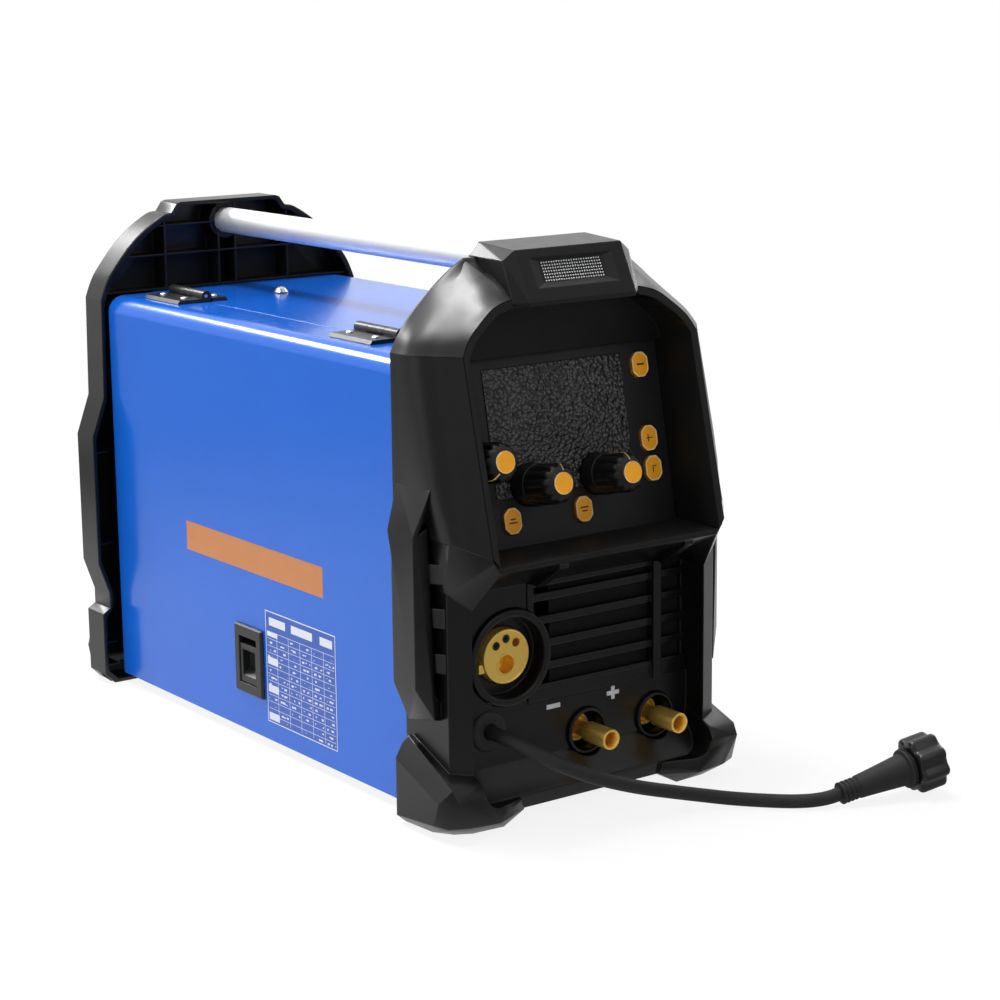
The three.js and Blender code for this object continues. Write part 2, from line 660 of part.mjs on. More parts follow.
function frontBezel() {
  const outer = join([
    hull(hoodRings(0)), bezelFacets(), bezelLower().add(guards()).subtract(guardSlots()), guardRibs(),
    footBlock(footRootY, footFrontY).subtract(footRecess()), sillRibs(),
  ]);
  const mouthWall = mouth(plasticWall, panelThickness + fit + plasticWall);
  const hollowHalfWidth = columnHalfWidth - plasticWall;
  const inside = cut(join([
    hull(hoodRings(plasticWall)),
    block(-hollowHalfWidth, hollowHalfWidth, faceY + plasticWall, bezelRear + 8, lipBottomZ + plasticWall,
      hoodBottomZ + 8),
    ...[1, -1].map((side) => {
      const [x0, x1] = [side * (columnInner + plasticWall), side * hollowHalfWidth];
      return block(Math.min(x0, x1), Math.max(x0, x1), columnOuterY + 4, bezelRear + 8, 22, columnTopInnerZ - 6);
    }),
  ]), [mouthWall]);
  const slab = block(-140, 140, bezelRear - plasticWall, bezelRear, 0, 400);
  const backWall = outer.intersect(slab).subtract(caseOpening(-60, 0, 0.4));
  const seat = hull(mirrored([
    [panelHalfWidth - ledge, panelY(sillFloorZ + ledge) - 3, sillFloorZ + ledge],
    [panelHalfWidth - ledge, bezelRear + 12, sillFloorZ + ledge],
    [panelHalfWidth - ledge, panelY(panelTopZ - ledge) - 3, panelTopZ - ledge],
    [panelHalfWidth - ledge, bezelRear + 12, panelTopZ - ledge],
  ]));
  const boss = rod(tubeBoss, [0, tubeFront - 5, tubeZ], [0, 1, 0], bezelRear - tubeFront + 5, 24);
  const shell = join([cut(outer, [inside]), backWall, boss.intersect(outer)]);
  const faceHole = (radius, x, z) => rod(radius, [x, faceY - 10, z], [0, 1, 0], 20, 32);
  return cut(shell, [
    mouth(0, panelThickness + fit), seat, caseOpening(coverFront - fit, bezelRear + 1, 0.4),
    rod(tubeRadius + fit, [0, tubeFront - fit, tubeZ], [0, 1, 0], 60, 24),
    faceHole(torchRingRadius + fit, torchX, torchZ),
    ...socketX.map((x) => faceHole(socketRingRadius + fit, x, socketZ)),
    faceHole(grommetRadius - 2.5, grommetX, grommetZ),
    block(grilleLeft - fit, columnInner - 0.1, faceY - 10, faceY + 10, grilleBottomZ - fit, faceUnderSillZ),
  ]);
}

// ---------------------------------------------------------------- control panel
// Moves a geometry made at the origin, with +Z outwards and +Y up, to a point on the control panel.
function onPanel(geometry, x, z) {
  const up = new THREE.Vector3(0, panelLean, 1).normalize();
  const right = new THREE.Vector3(1, 0, 0);
  const place = new THREE.Matrix4().makeBasis(right, up, right.clone().cross(up));
  place.setPosition(x, panelY(z), z);
  return solidOf(geometry.applyMatrix4(place));
}

const panelBlock = (width, height, low, high, x, z) =>
  onPanel(new THREE.BoxGeometry(width, height, high - low).translate(0, 0, (low + high) / 2), x, z);

function panelRod(radius, low, high, x, z, sides = 14) {
  const rodShape = new THREE.CylinderGeometry(radius, radius, high - low, sides);
  return onPanel(rodShape.rotateX(Math.PI / 2).translate(0, 0, (low + high) / 2), x, z);
}

function buttonOutline(grow) {
  const [w, h] = [buttonWidth / 2 + grow, buttonHeight / 2 + grow];
  return shapeOf([
    [w, -h + buttonCorner], [w, h - buttonCorner], [w - buttonCorner, h], [-w + buttonCorner, h],
    [-w, h - buttonCorner], [-w, -h + buttonCorner], [-w + buttonCorner, -h], [w - buttonCorner, -h],
  ]);
}

function buttonPrism(grow, low, high) {
  const prism = new THREE.ExtrudeGeometry(buttonOutline(grow), { depth: high - low, bevelEnabled: false });
  return prism.translate(0, 0, low);
}

const displayMidZ = (displayBottomZ + displayTopZ) / 2;
const displayHeight = (displayTopZ - displayBottomZ) * Math.hypot(1, panelLean);

function controlFascia() {
  const edge = panelHalfWidth - fit;
  const corners = [sillFloorZ + fit, panelTopZ - fit];
  const plate = hull(mirrored(corners.flatMap((z) => [[edge, panelY(z), z], [edge, panelY(z) + panelThickness, z]])));
  return cut(plate, [
    panelBlock(2 * (displayHalfWidth + fit), displayHeight + 2 * fit, -displayThickness, 5, 0, displayMidZ),
    ...knobPlaces.map(([x, z]) => panelRod(knobShaftRadius + runGap, -8, 5, x, z)),
    ...buttonPlaces.map(([x, z]) => onPanel(buttonPrism(fit, -8, 8), x, z)),
  ]);
}

function displayWindow() {
  const film = panelBlock(2 * displayHalfWidth, displayHeight, fit - displayThickness, fit + 0.3, 0, displayMidZ);
  return cut(film, knobPlaces.map(([x, z]) => panelRod(knobSkirtRadius + 0.6, -8, 8, x, z, 24)));
}

function controlBoard() {
  const middle = (boardBottomZ + boardTopZ) / 2;
  const board = panelBlock(2 * panelHalfWidth - 16, boardTopZ - boardBottomZ, -boardOffset - boardThickness,
    -boardOffset, 0, middle);
  const reach = -panelThickness - fit;
  const pots = knobPlaces.map(([x, z]) => cut(panelRod(potRadius, -boardOffset - 0.5, reach, x, z),
    [panelRod(knobShaftRadius + runGap, -12, 0, x, z)]));
  const keys = buttonPlaces.map(([x, z]) => panelBlock(8, 8, -boardOffset - 0.5, -buttonDepth - 1.4, x, z));
  return join([board, ...pots, ...keys]);
}

function knob(x, z) {
  const points = Array.from({ length: knobFlutes * 4 }, (_, i) => {
    const angle = (i / (knobFlutes * 4)) * 2 * Math.PI;
    const radius = i % 4 < 2 ? knobRadius : knobRadius - knobFluteDepth;
    return [radius * Math.cos(angle), radius * Math.sin(angle)];
  });
  const gripDepth = knobLength - knobSkirtLength;
  const grip = new THREE.ExtrudeGeometry(shapeOf(points), { depth: gripDepth, bevelEnabled: false });
  const skirt = panelRod(knobSkirtRadius, 0.6, knobSkirtLength + 0.2, x, z, 24);
  return join([
    skirt, onPanel(grip.translate(0, 0, knobSkirtLength), x, z),
    panelRod(knobCapRadius, knobLength - 1, knobLength + knobCapHeight, x, z, 24),
    panelRod(knobShaftRadius, -knobShaftLength, 1, x, z),
  ]);
}

// ---------------------------------------------------------------- grille, sockets and lead
function frontGrille() {
  const [left, right] = [grilleLeft, columnInner - 0.1 - fit];
  const [front, back] = [faceY - 0.5, faceY + grilleDepth];
  const half = grilleBarHeight / 2;
  const bars = grilleBarZ.map((z) => block(left, right, front + 0.8, back, z - half, z + half));
  const top = faceUnderSillZ - fit;
  const frame = [
    block(left, left + 5, front, back, grilleBottomZ, top),
    block(right - 4, right, front + 2, back, grilleBottomZ, top),
    block(left, right, front, back, grilleBottomZ, grilleBottomZ + 9),
    block(left, right, front + 1, back, top - 4, top),
    block(grillePostX - grillePostWidth / 2, grillePostX + grillePostWidth / 2, faceY - grillePostProud, back,
      grilleBottomZ, top),
  ];
  return join([...bars, ...frame]).subtract(rod(torchRingRadius + fit, [torchX, faceY - 10, torchZ], [0, 1, 0], 25, 40));
}

// A fine dark screen stands behind the bars, so that no sparks or dust are drawn in with the air.
function grilleScreen() {
  const back = faceY + grilleDepth;
  return block(torchX + torchRingRadius + 3, columnInner - 2, back + fit, back + fit + screenThickness,
    grilleBottomZ + 2, faceUnderSillZ - 2);
}

function torchSocketRing() {
  const depth = 16;
  return turned([
    [torchFaceRadius + 0.5, depth], [torchRingRadius, depth], [torchRingRadius, 0], [torchRingBore, 0],
    [torchRingBore, depth - 3], [torchFaceRadius + 0.5, depth - 3], [torchFaceRadius + 0.5, depth],
  ], [torchX, torchRingFront, torchZ], [0, 1, 0], 32);
}

function torchSocketBrass() {
  const reach = torchBodyRear - torchFaceY;
  const body = turned([
    [0, 0], [torchFaceRadius - 0.8, 0], [torchFaceRadius, 0.8], [torchFaceRadius, 24], [torchBodyRadius, 24],
    [torchBodyRadius, reach], [0, reach],
  ], [torchX, torchFaceY, torchZ], [0, 1, 0], 28);
  const pins = [-50, 0, 50].map((degrees) => {
    const angle = THREE.MathUtils.degToRad(degrees);
    const [dx, dz] = [torchPinCircle * Math.sin(angle), 1.5 + torchPinCircle * Math.cos(angle)];
    return rod(torchPinHole, [torchX + dx, torchFaceY - 1, torchZ + dz], [0, 1, 0], 17, 10);
  });
  const wireHole = rod(torchWireHole, [torchX, torchFaceY - 1, torchZ - 5.5], [0, 1, 0], 13, 20);
  const wirePath = rod(1.5, [torchX, torchFaceY - 1, torchZ - 2], [0, 1, 0], reach + 5, 8);
  const key = block(torchX - torchFaceRadius - 3, torchX - 12, torchFaceY + 1, torchRingFront + 12.6,
    torchZ - 9, torchZ - 3);
  return cut(body.add(key), [...pins, wireHole, wirePath]);
}

function socketRing(x) {
  const depth = socketRingRear - socketRingFront;
  return turned([
    [socketTubeRadius + runGap, depth], [socketRingRadius, depth], [socketRingRadius, 0], [socketRingBore, 0],
    [socketRingBore, depth - 4], [socketTubeRadius + runGap, depth - 4], [socketTubeRadius + runGap, depth],
  ], [x, socketRingFront, socketZ], [0, 1, 0], 24);
}

function socketTube(x) {
  const flangeFront = socketRingRear - socketFlangeDepth - 6 - socketTubeTip;
  const length = socketRingRear + 8 - socketTubeTip;
  return turned([
    [0, 20], [socketTubeBore, 18], [socketTubeBore, 6], [socketTubeMouth, 0], [socketTubeRadius - 0.6, 0],
    [socketTubeRadius, 0.6], [socketTubeRadius, socketTubeLength], [socketNeckRadius, socketTubeLength],
    [socketNeckRadius, flangeFront], [socketFlangeRadius, flangeFront],
    [socketFlangeRadius, flangeFront + socketFlangeDepth], [socketTubeRadius, flangeFront + socketFlangeDepth],
    [socketTubeRadius, length], [0, length],
  ], [x, socketTubeTip, socketZ], [0, 1, 0], 20);
}

function cordGrommet() {
  return turned([
    [leadRadius + fit, -2], [10, -2.5], [grommetRadius - 1, -1.5], [grommetRadius, -fit],
    [grommetRadius - 2.8, -fit], [grommetRadius - 2.8, 6], [leadRadius + fit, 6], [leadRadius + fit, -2],
  ], [grommetX, faceY, grommetZ], [0, 1, 0], 20);
}

function changeoverLead() {
  const path = new THREE.CatmullRomCurve3(leadRoute.map((p) => new THREE.Vector3(...p)), false, 'centripetal');
  const section = new THREE.Shape(Array.from({ length: leadSides }, (_, i) => {
    const angle = (i / leadSides) * 2 * Math.PI;
    return new THREE.Vector2(leadRadius * Math.cos(angle), leadRadius * Math.sin(angle));
  }));
  return solidOf(new THREE.ExtrudeGeometry(section, { steps: leadSteps, extrudePath: path }));
}

const plugStart = new THREE.Vector3(...leadRoute.at(-1)).addScaledVector(plugAxis, fit);

function plugBody() {
  const ribs = Array.from({ length: plugBootRibs }, (_, i) => {
    const [at, half] = [i * plugRibPitch, plugRibPitch / 2];
    const groove = plugRibRadius - plugRibDepth;
    return [[plugRibRadius, at], [plugRibRadius, at + half], [groove, at + half], [groove, at + 2 * half]];
  }).flat();
  const neck = [[plugNeckRadius, 54], [plugNeckRadius, plugLength], [0, plugLength]];
  return turned([[0, 0], ...ribs, ...plugBoot, ...neck], plugStart.toArray(), plugAxis.toArray(), 18);
}

function plugRing() {
  const samples = plugRingLobes * 4;
  const outline = Array.from({ length: samples }, (_, i) => {
    const angle = (i / samples) * 2 * Math.PI;
    const radius = plugRingRadius - plugRingLobeDepth * Math.pow(Math.abs(Math.sin((angle * plugRingLobes) / 2)), 3);
    return [radius * Math.cos(angle), radius * Math.sin(angle)];
  });
  const shape = shapeOf(outline);
  const depth = plugRingEnd - plugRingStart - 2;
  const ring = new THREE.ExtrudeGeometry(shape, {
    depth, bevelThickness: 1, bevelSize: 1, bevelOffset: -1, bevelSegments: 1 });
  ring.translate(0, 0, plugRingStart + 1);
  ring.applyQuaternion(new THREE.Quaternion().setFromUnitVectors(new THREE.Vector3(0, 0, 1), plugAxis));
  ring.translate(...plugStart.toArray());
  const bore = (radius, from, to) => rod(radius,
    plugStart.clone().addScaledVector(plugAxis, from).toArray(), plugAxis.toArray(), to - from, 28);
  return cut(solidOf(ring), [bore(plugNeckRadius + runGap, 50, 90), bore(15.5, plugRingStart + 8, 90)]);
}

// ---------------------------------------------------------------- carry tube and cap
const carryTube = () => pipe(tubeRadius, tubeBore, [0, tubeFront, tubeZ], [0, 1, 0], tubeRear - tubeFront, 32);

function frontCap() {
  const [fy, fz] = capFrontTop;
  const [by, bz] = capFrontBottom;
  const [ry, rz] = capRearTop;
  const [cy, cz] = capChamfer;
  const body = hull(mirrored([
    [capHalfWidth, fy, fz], [capHalfWidth, ry, rz], [capHalfWidth, ry + 1, rz - 2],
    [capHalfWidth, by, bz], [capHalfWidth, by + 1, bz - 3],
    [capFootHalfWidth, cy, cz], [capFootHalfWidth, ry, cz + 0.5],
    [capFootHalfWidth, by + 6.5, bz - 1], [capFootHalfWidth, ry, bezelTop - 14],
  ]));
  const underneath = hull(hoodRings(0).map(([x, y, z]) => [x, y - fit, z + fit]));
  const behind = block(-80, 80, bezelRear - 4, ry + 10, rimTopZ - 12, bezelTop + fit);
  const tunnel = rod(tubeRadius + fit, [0, tubeFront - fit, tubeZ], [0, 1, 0], 100, 24);
  const slope = (fy - by) / (fz - bz);
  const frontAt = (z) => fy - (fz - z) * slope;
  const rim = [dishTopZ, dishBottomZ].map((z) => [dishHalfWidth, frontAt(z), z]);
  const floor = [dishTopZ - 2.5, dishBottomZ + 3].map((z) => [dishFloorHalfWidth, frontAt(z) + dishDepth, z]);
  const dish = hull(mirrored([...rim, ...rim.map(([x, y, z]) => [x, y - 5, z]), ...floor]));
  return cut(body, [underneath, behind, tunnel, dish]);
}

// ---------------------------------------------------------------- rear bezel
function rearOutline(inset) {
  const i = inset;
  const half = [
    [43 - i, bezelTop + 7.8 - i], [46.5 - i, bezelTop + 6.5 - i], [49 - i, bezelTop + 3 - i],
    [51.5 - i, bezelTop - 0.5 - i], [60 - i, rise(0.96) - i], [76 - i, rise(0.78) - i], [91 - i, rise(0.54) - i],
    [106 - i, rise(0.216) - i], [111.5 - i, rimTopZ + 2.5 - i], [115.5 - i, rimTopZ - 7.5 - i],
    [117 - i, guardTopTaperZ - i / 2], [guardHalfWidth - i, guardTopZ - i / 2],
    [guardHalfWidth - i, guardBottomZ + i / 2], [119.5 - i, guardBottomTaperZ + i / 2], [119.5 - i, 61 + i / 2],
    [footHalfWidth - i, 57 - i], [footHalfWidth - i, 8 + i], [footHalfWidth - 8 - i, i],
    [footHalfWidth - 52 + i, i], [footHalfWidth - 68 + i, lipBottomZ + i],
  ];
  return shapeOf([...half, ...half.map(([x, z]) => [-x, z]).reverse()]);
}

function rearBezel() {
  const inner = rearBack - rearPlate;
  const outside = join([
    alongY(rearOutline(0), rearFront, rearBack),
    footBlock(rearFront + 6, rearFootBack),
  ]);
  const hollow = alongY(rearOutline(plasticWall), rearFront - 5, inner);
  const ribFront = inner - rearRibDepth;
  const ribLow = coverTop + fit;
  const ribs = join([
    ...rearRibX.flatMap((x) => [x, -x]).map((x) =>
      block(x - rearRibThickness / 2, x + rearRibThickness / 2, ribFront, inner + 1, ribLow, bezelTop + 5)),
    ...[ribLow, ...rearRibZ].map((z) => block(-115, 115, ribFront, inner + 1, z, z + rearRibThickness)),
    ...[1, -1].flatMap((side) => rearSideRibZ.map((z) => {
      const [x0, x1] = [side * (coverHalfWidth + 3), side * (guardHalfWidth - 1)];
      return block(Math.min(x0, x1), Math.max(x0, x1), inner - rearSideRibDepth, inner + 1, z, z + rearRibThickness);
    })),
    rod(tubeBoss, [0, ribFront + 1, tubeZ], [0, 1, 0], rearRibDepth, 24),
  ]).intersect(outside);
  const grilleRings = Array.from({ length: grilleRingCount }, (_, i) => {
    const outer = 8 + (i + 1) * grilleRingPitch;
    return pipe(outer, outer - grilleRingPitch + 3.5, [fanX, inner - 5, fanZ], [0, 1, 0], 20, 24);
  });
  const spokes = join([
    block(fanX - 50, fanX + 50, inner - 9, rearBack + 9, fanZ - 2, fanZ + 2),
    block(fanX - 2, fanX + 2, inner - 9, rearBack + 9, fanZ - 50, fanZ + 50),
  ]);
  const through = (radius, x, z) => rod(radius, [x, inner - 5, z], [0, 1, 0], 20, 24);
  const shell = join([cut(outside, [hollow]), ribs]);
  return cut(shell, [
    join(grilleRings).subtract(spokes),
    rod(tubeRadius + fit, [0, ribFront - 5, tubeZ], [0, 1, 0], tubeRear - ribFront + 5 + fit, 32),
    block(switchX - switchWidth / 2 - fit, switchX + switchWidth / 2 + fit, inner - 5, rearBack + 5,
      switchZ - switchHeight / 2 - fit, switchZ + switchHeight / 2 + fit),
    through(10 + fit, glandX, glandZ), through(7 + fit, gasX, gasZ),
  ]);
}

const fanFrontY = rearBack - rearPlate - fit - fanDepth;

function fanFrame() {
  const half = fanSize / 2;
  const body = block(fanX - half, fanX + half, fanFrontY, fanFrontY + fanDepth, fanZ - half, fanZ + half);
  const bore = rod(fanOpening, [fanX, fanFrontY - 5, fanZ], [0, 1, 0], fanDepth + 10, 32);
  const back = fanFrontY + fanDepth;
  const hub = rod(fanHub, [fanX, back - 3, fanZ], [0, 1, 0], 3, 24);
  const stub = rod(3, [fanX, fanFrontY + 6, fanZ], [0, 1, 0], fanDepth - 6, 16);
  const struts = [0, 1, 2].map((i) => {
    const strut = new THREE.BoxGeometry(half, 3, 4).translate(half / 2, 0, 0);
    strut.rotateY((i * 2 * Math.PI) / 3 + 0.5);
    return solidOf(strut.translate(fanX, back - 1.5, fanZ));
  });
  return join([body.subtract(bore), hub, stub, ...struts]);
}

function fanRotor() {
  const [front, back] = [fanFrontY + 3, fanFrontY + fanDepth - 4];
  const hub = turned([
    [3 + runGap, back - front], [fanHub, back - front], [fanHub, 1.5], [fanHub - 1.5, 0], [3 + runGap, 0],
    [3 + runGap, back - front],
  ], [fanX, front, fanZ], [0, 1, 0], 24);
  const blades = Array.from({ length: fanBlades }, (_, i) => {
    const blade = new THREE.BoxGeometry(fanBladeReach - fanHub + 3, 1.6, 18);
    blade.rotateX(0.9).translate((fanBladeReach + fanHub - 3) / 2, 0, 0);
    blade.rotateY((i * 2 * Math.PI) / fanBlades);
    return solidOf(blade.translate(fanX, (front + back) / 2, fanZ));
  });
  return join([hub, ...blades]);
}

function switchHousing() {
  const [w, h] = [switchWidth / 2, switchHeight / 2];
  const front = rearBack + fit;
  const bezel = block(switchX - w - 2, switchX + w + 2, front, front + 2.5, switchZ - h - 2, switchZ + h + 2);
  const body = block(switchX - w, switchX + w, rearBack - 18, front + 1, switchZ - h, switchZ + h);
  const window = block(switchX - w + 3, switchX + w - 3, rearBack - 8, front + 10, switchZ - h + 3, switchZ + h - 3);
  return join([bezel, body]).subtract(window);
}

function switchRocker() {
  const [w, h] = [switchWidth / 2 - 3.4, switchHeight / 2 - 4.2];
  const y = rearBack + 0.5;
  return hull([1, -1].flatMap((s) => [
    [switchX + s * w, y - 5, switchZ - h + 2.4], [switchX + s * w, y - 5, switchZ + h - 2.4],
    [switchX + s * w, y + 1, switchZ - h], [switchX + s * w, y + 5.2, switchZ + h],
    [switchX + s * w, y + 2, switchZ],
  ]));
}

const mainsGland = () => turned([
  [6, -8], [10, -8], [10, rearPlate + fit], [14, rearPlate + fit], [14, 9], [11, 13], [11, 18], [8, 22], [6, 22],
  [6, -8],
], [glandX, rearBack - rearPlate, glandZ], [0, 1, 0], 16);

const gasInlet = () => turned([
  [2.5, -10], [7, -10], [7, rearPlate + fit], [10, rearPlate + fit], [10, 9], [6, 9], [6, 12], [7, 13], [5, 17],
  [5, 19], [2.5, 19], [2.5, -10],
], [gasX, rearBack - rearPlate, gasZ], [0, 1, 0], 12);

// ---------------------------------------------------------------- hinges
const barrelZ = coverTop + fit + knuckleRadius;
const leafZ = coverTop + fit;

function hingeLeaf(side, start) {
  const end = start + hingeLength;
  const inner = seamX + side * (knuckleRadius + 0.8);
  const outer = seamX + side * (side < 0 ? hingeDoorReach : hingeFixedReach);
  const plate = hull([start, end].flatMap((y) => [
    [inner, y, leafZ], [inner, y, leafZ + hingeLeafThickness], [outer, y, leafZ],
    [outer - side * 2, y, leafZ + hingeLeafThickness],
  ]));
  const spans = side < 0
    ? [[start, start + knuckleLength], [end - knuckleLength, end]]
    : [[start + knuckleLength + runGap, end - knuckleLength - runGap]];
  const knuckles = spans.flatMap(([y0, y1]) => {
    const [a, b] = [seamX + side * 1, seamX + side * (knuckleRadius + 2)];
    return [
      rod(knuckleRadius, [seamX, y0, barrelZ], [0, 1, 0], y1 - y0, 14),
      block(Math.min(a, b), Math.max(a, b), y0, y1, leafZ, leafZ + hingeLeafThickness),
    ];
  });
  const bore = rod(hingePinRadius + runGap, [seamX, start - 5, barrelZ], [0, 1, 0], hingeLength + 10, 12);
  return join([plate, ...knuckles]).subtract(bore);
}

const hingePin = (start) => rod(hingePinRadius, [seamX, start + 0.5, barrelZ], [0, 1, 0], hingeLength - 1, 12);

// ---------------------------------------------------------------- door latch
function latchFrame() {
  const face = -coverHalfWidth - fit;
  const plate = hull([latchY[0], latchY[1]].flatMap((y, i) => {
    const inward = i ? -1 : 1;
    return [
      [face, y, latchZ[0]], [face, y, latchZ[1]],
      [face - latchPlate, y + inward, latchZ[0] + 1], [face - latchPlate, y + inward, latchZ[1] - 1],
    ];
  }));
  const edge = latchOverlap + fit;
  const body = block(face - 0.5, -coverHalfWidth + latchBody, latchY[0] + edge, latchY[1] - edge,
    latchZ[0] + edge, latchZ[1] - edge);
  const window = block(face - 10, -coverHalfWidth + latchBody + 5, latchWindowY[0], latchWindowY[1],
    latchWindowZ[0], latchWindowZ[1]);
  return join([plate, body]).subtract(window);
}

function latchSliderPiece() {
  const [y0, y1] = [latchWindowY[0] + fit, latchWindowY[1] - fit];
  const [z0, z1] = [latchWindowZ[0] + fit, latchWindowZ[0] + fit + latchSlider];
  const back = -coverHalfWidth + latchBody + 2;
  const body = block(-coverHalfWidth - 2, back, y0, y1, z0, z1);
  const pocket = hull([y0 + 3, y1 - 3].flatMap((y) => [
    [-coverHalfWidth - 5, y, z0 + 3], [-coverHalfWidth - 5, y, z1 - 5], [-coverHalfWidth + 5, y, z0 + 10],
    [-coverHalfWidth + 5, y, z1 - 3],
  ]));
  const arm = block(back - 1, back + 6, y0 + 8, y1 - 8, keeperZ + 3, keeperZ + 6);
  const tooth = block(back + 4, back + 6, y0 + 8, y1 - 8, keeperZ + 1, keeperZ + 4);
  return join([body.subtract(pocket), arm, tooth]);
}

function latchKeeper() {
  const x = -coverHalfWidth + latchBody + 12;
  const [y0, y1] = [latchWindowY[0] + 2, latchWindowY[1] - 2];
  return join([
    block(x, x + sheet, y0, y1, baseTop + fit, keeperZ - 4), block(x - 9, x + 1, y0, y1, keeperZ - 5.5, keeperZ - 4),
    block(x - 9, x - 7.5, y0, y1, keeperZ - 5, keeperZ), block(x, x + 14, y0, y1, baseTop + fit, baseTop + fit + sheet),
  ]);
}

// ---------------------------------------------------------------- spool and feed unit
const spoolOuterX = spoolInnerX - spoolWidth;

function spoolHub() {
  return turned([
    [0, 0], [36, 0], [36, 4], [hubRadius, 4], [hubRadius, -spoolOuterX - 2], [hubRadius - 2, -spoolOuterX],
    [0, -spoolOuterX],
  ], [dividerX - fit, spoolY, spoolZ], [-1, 0, 0], 24);
}

const spoolNut = () => turned([[0, 0], [32, 0], [32, 4], [16, 6], [13, 18], [0, 18]],
  [spoolOuterX - 3, spoolY, spoolZ], [-1, 0, 0], 24);

const wireSpool = () => turned([
  [spoolBore, 0], [spoolRadius, 0], [spoolRadius, spoolFlange], [spoolCore, spoolFlange],
  [spoolCore, spoolWidth - spoolFlange], [spoolRadius, spoolWidth - spoolFlange], [spoolRadius, spoolWidth],
  [spoolBore, spoolWidth], [spoolBore, 0],
], [spoolInnerX, spoolY, spoolZ], [-1, 0, 0], 32);

const woundWire = () => pipe(wireRadius, spoolCore + fit, [spoolInnerX - spoolFlange - fit, spoolY, spoolZ], [-1, 0, 0],
  spoolWidth - 2 * (spoolFlange + fit), 36);

const driveZ = torchZ - driveRollRadius - wireRadiusInFeed;
const pressZ = torchZ + pressRollRadius + wireRadiusInFeed;
const rollX = torchX + rollWidth / 2;

function feedPlate() {
  const [x0, x1] = feedPlateX;
  const plate = block(x0, x1, ...feedPlateY, ...feedPlateZ);
  const pivot = rod(4, [x0 - 10, armPivot[0], armPivot[1]], [1, 0, 0], 12, 16);
  const guide = (y0, y1) => join([
    block(torchX - 4, x0 + 1, y0, y1, torchZ - 9, torchZ - 3),
    pipe(4, 1.5, [torchX, y0, torchZ], [0, 1, 0], y1 - y0, 16),
  ]);
  const shaftBore = rod(4 + runGap, [x0 - 5, feedY, driveZ], [1, 0, 0], 30, 20);
  return join([plate, pivot, guide(112, 150), guide(feedPlateY[0], 66)]).subtract(shaftBore);
}

function gearMotor() {
  const housing = block(...gearBox, ...gearBoxY, ...gearBoxZ);
  const motor = rod(motorRadius, [gearBox[1] - 1, feedY, torchZ], [1, 0, 0], motorEnd - gearBox[1], 28);
  return housing.add(motor);
}

function driveRoll() {
  const roll = turned([
    [0, 0], [driveRollRadius, 0], [driveRollRadius, rollWidth / 2 - 1], [driveRollRadius - 0.8, rollWidth / 2],
    [driveRollRadius, rollWidth / 2 + 1], [driveRollRadius, rollWidth], [0, rollWidth],
  ], [rollX, feedY, driveZ], [-1, 0, 0], 24);
  const shaft = rod(4, [feedPlateX[1] - fit, feedY, driveZ], [-1, 0, 0], feedPlateX[1] - rollX + 1, 20);
  const nut = rod(8, [rollX - rollWidth + 0.5, feedY, driveZ], [-1, 0, 0], 7, 6);
  return join([roll, shaft, nut]);
}

const armX = [-49, -43];

function pressRoll() {
  return turned([
    [3.6, 0], [pressRollRadius, 0], [pressRollRadius, rollWidth], [3.6, rollWidth], [3.6, 0],
  ], [rollX, feedY, pressZ], [-1, 0, 0], 24);
}

function pressureArm() {
  const [py, pz] = armPivot;
  const [x0, x1] = armX;
  const bar = hull([x0, x1].flatMap((x) => [
    [x, py + 7, pz - 5], [x, py + 7, pz + 6], [x, py, pz + 9], [x, armTipY, 144], [x, armTipY, 132],
    [x, feedY, pressZ - 7], [x, feedY + 8, pressZ - 6], [x, py, pz - 8],
  ]));
  const tip = block(x0 - 4, x1, armTipY, armTipY + 14, 132, 144);
  const axle = rod(3.4, [x0 + 1, feedY, pressZ], [-1, 0, 0], 14, 16);
  const cap = rod(6, [rollX - rollWidth - 0.4, feedY, pressZ], [-1, 0, 0], 2, 16);
  return join([bar, tip, axle, cap]).subtract(join([
    rod(4 + runGap, [-60, py, pz], [1, 0, 0], 40, 16),
    rod(3 + runGap, [armX[0] + 1, armTipY + 7, 120], [0, 0, 1], 40, 16),
  ]));
}

const tensionKnob = () => turned([
  [0, -12], [3, -12], [3, fit], [9, fit], [9, 18], [7, 21], [0, 21],
], [armX[0] + 1, armTipY + 7, 145.2], [0, 0, 1], 20);

// ---------------------------------------------------------------- power electronics
function heatSink() {
  const [[y0, y1], [z0, z1]] = [sinkY, sinkZ];
  const x0 = dividerX + sheet + fit;
  const pitch = (z1 - z0 - sinkFin) / (sinkFins - 1);
  const fins = Array.from({ length: sinkFins }, (_, i) => z0 + i * pitch).map((z) =>
    block(x0 + sinkPlate - 1, x0 + sinkDepth, y0, y1, z, z + sinkFin));
  return join([block(x0, x0 + sinkPlate, y0, y1, z0, z1), ...fins]);
}

function inverterBoard() {
  const [[x0, x1], [y0, y1]] = [inverterX, inverterY];
  const foot = baseTop + fit;
  const board = foot + inverterPost;
  const parts = board + 1;
  const posts = [x0 + 4, x1 - 4].flatMap((x) => [y0 + 6, y1 - 6].map((y) =>
    rod(inverterPostRadius, [x, y, foot], [0, 0, 1], inverterPost + 2, 8)));
  const cans = [0, 1, 2].map((i) => rod(canRadius, [x1 - 22, y0 + 40 + i * canPitch, parts], [0, 0, 1], canHeight, 20));
  return join([
    block(x0, x1, y0, y1, board, board + boardThickness), ...posts, ...cans,
    block(x0 + 8, x0 + 36, y0 + 30, y0 + 90, parts, parts + 34),
    block(x0 + 10, x1 - 10, y1 - 88, y1 - 20, parts, parts + 39),
  ]);
}

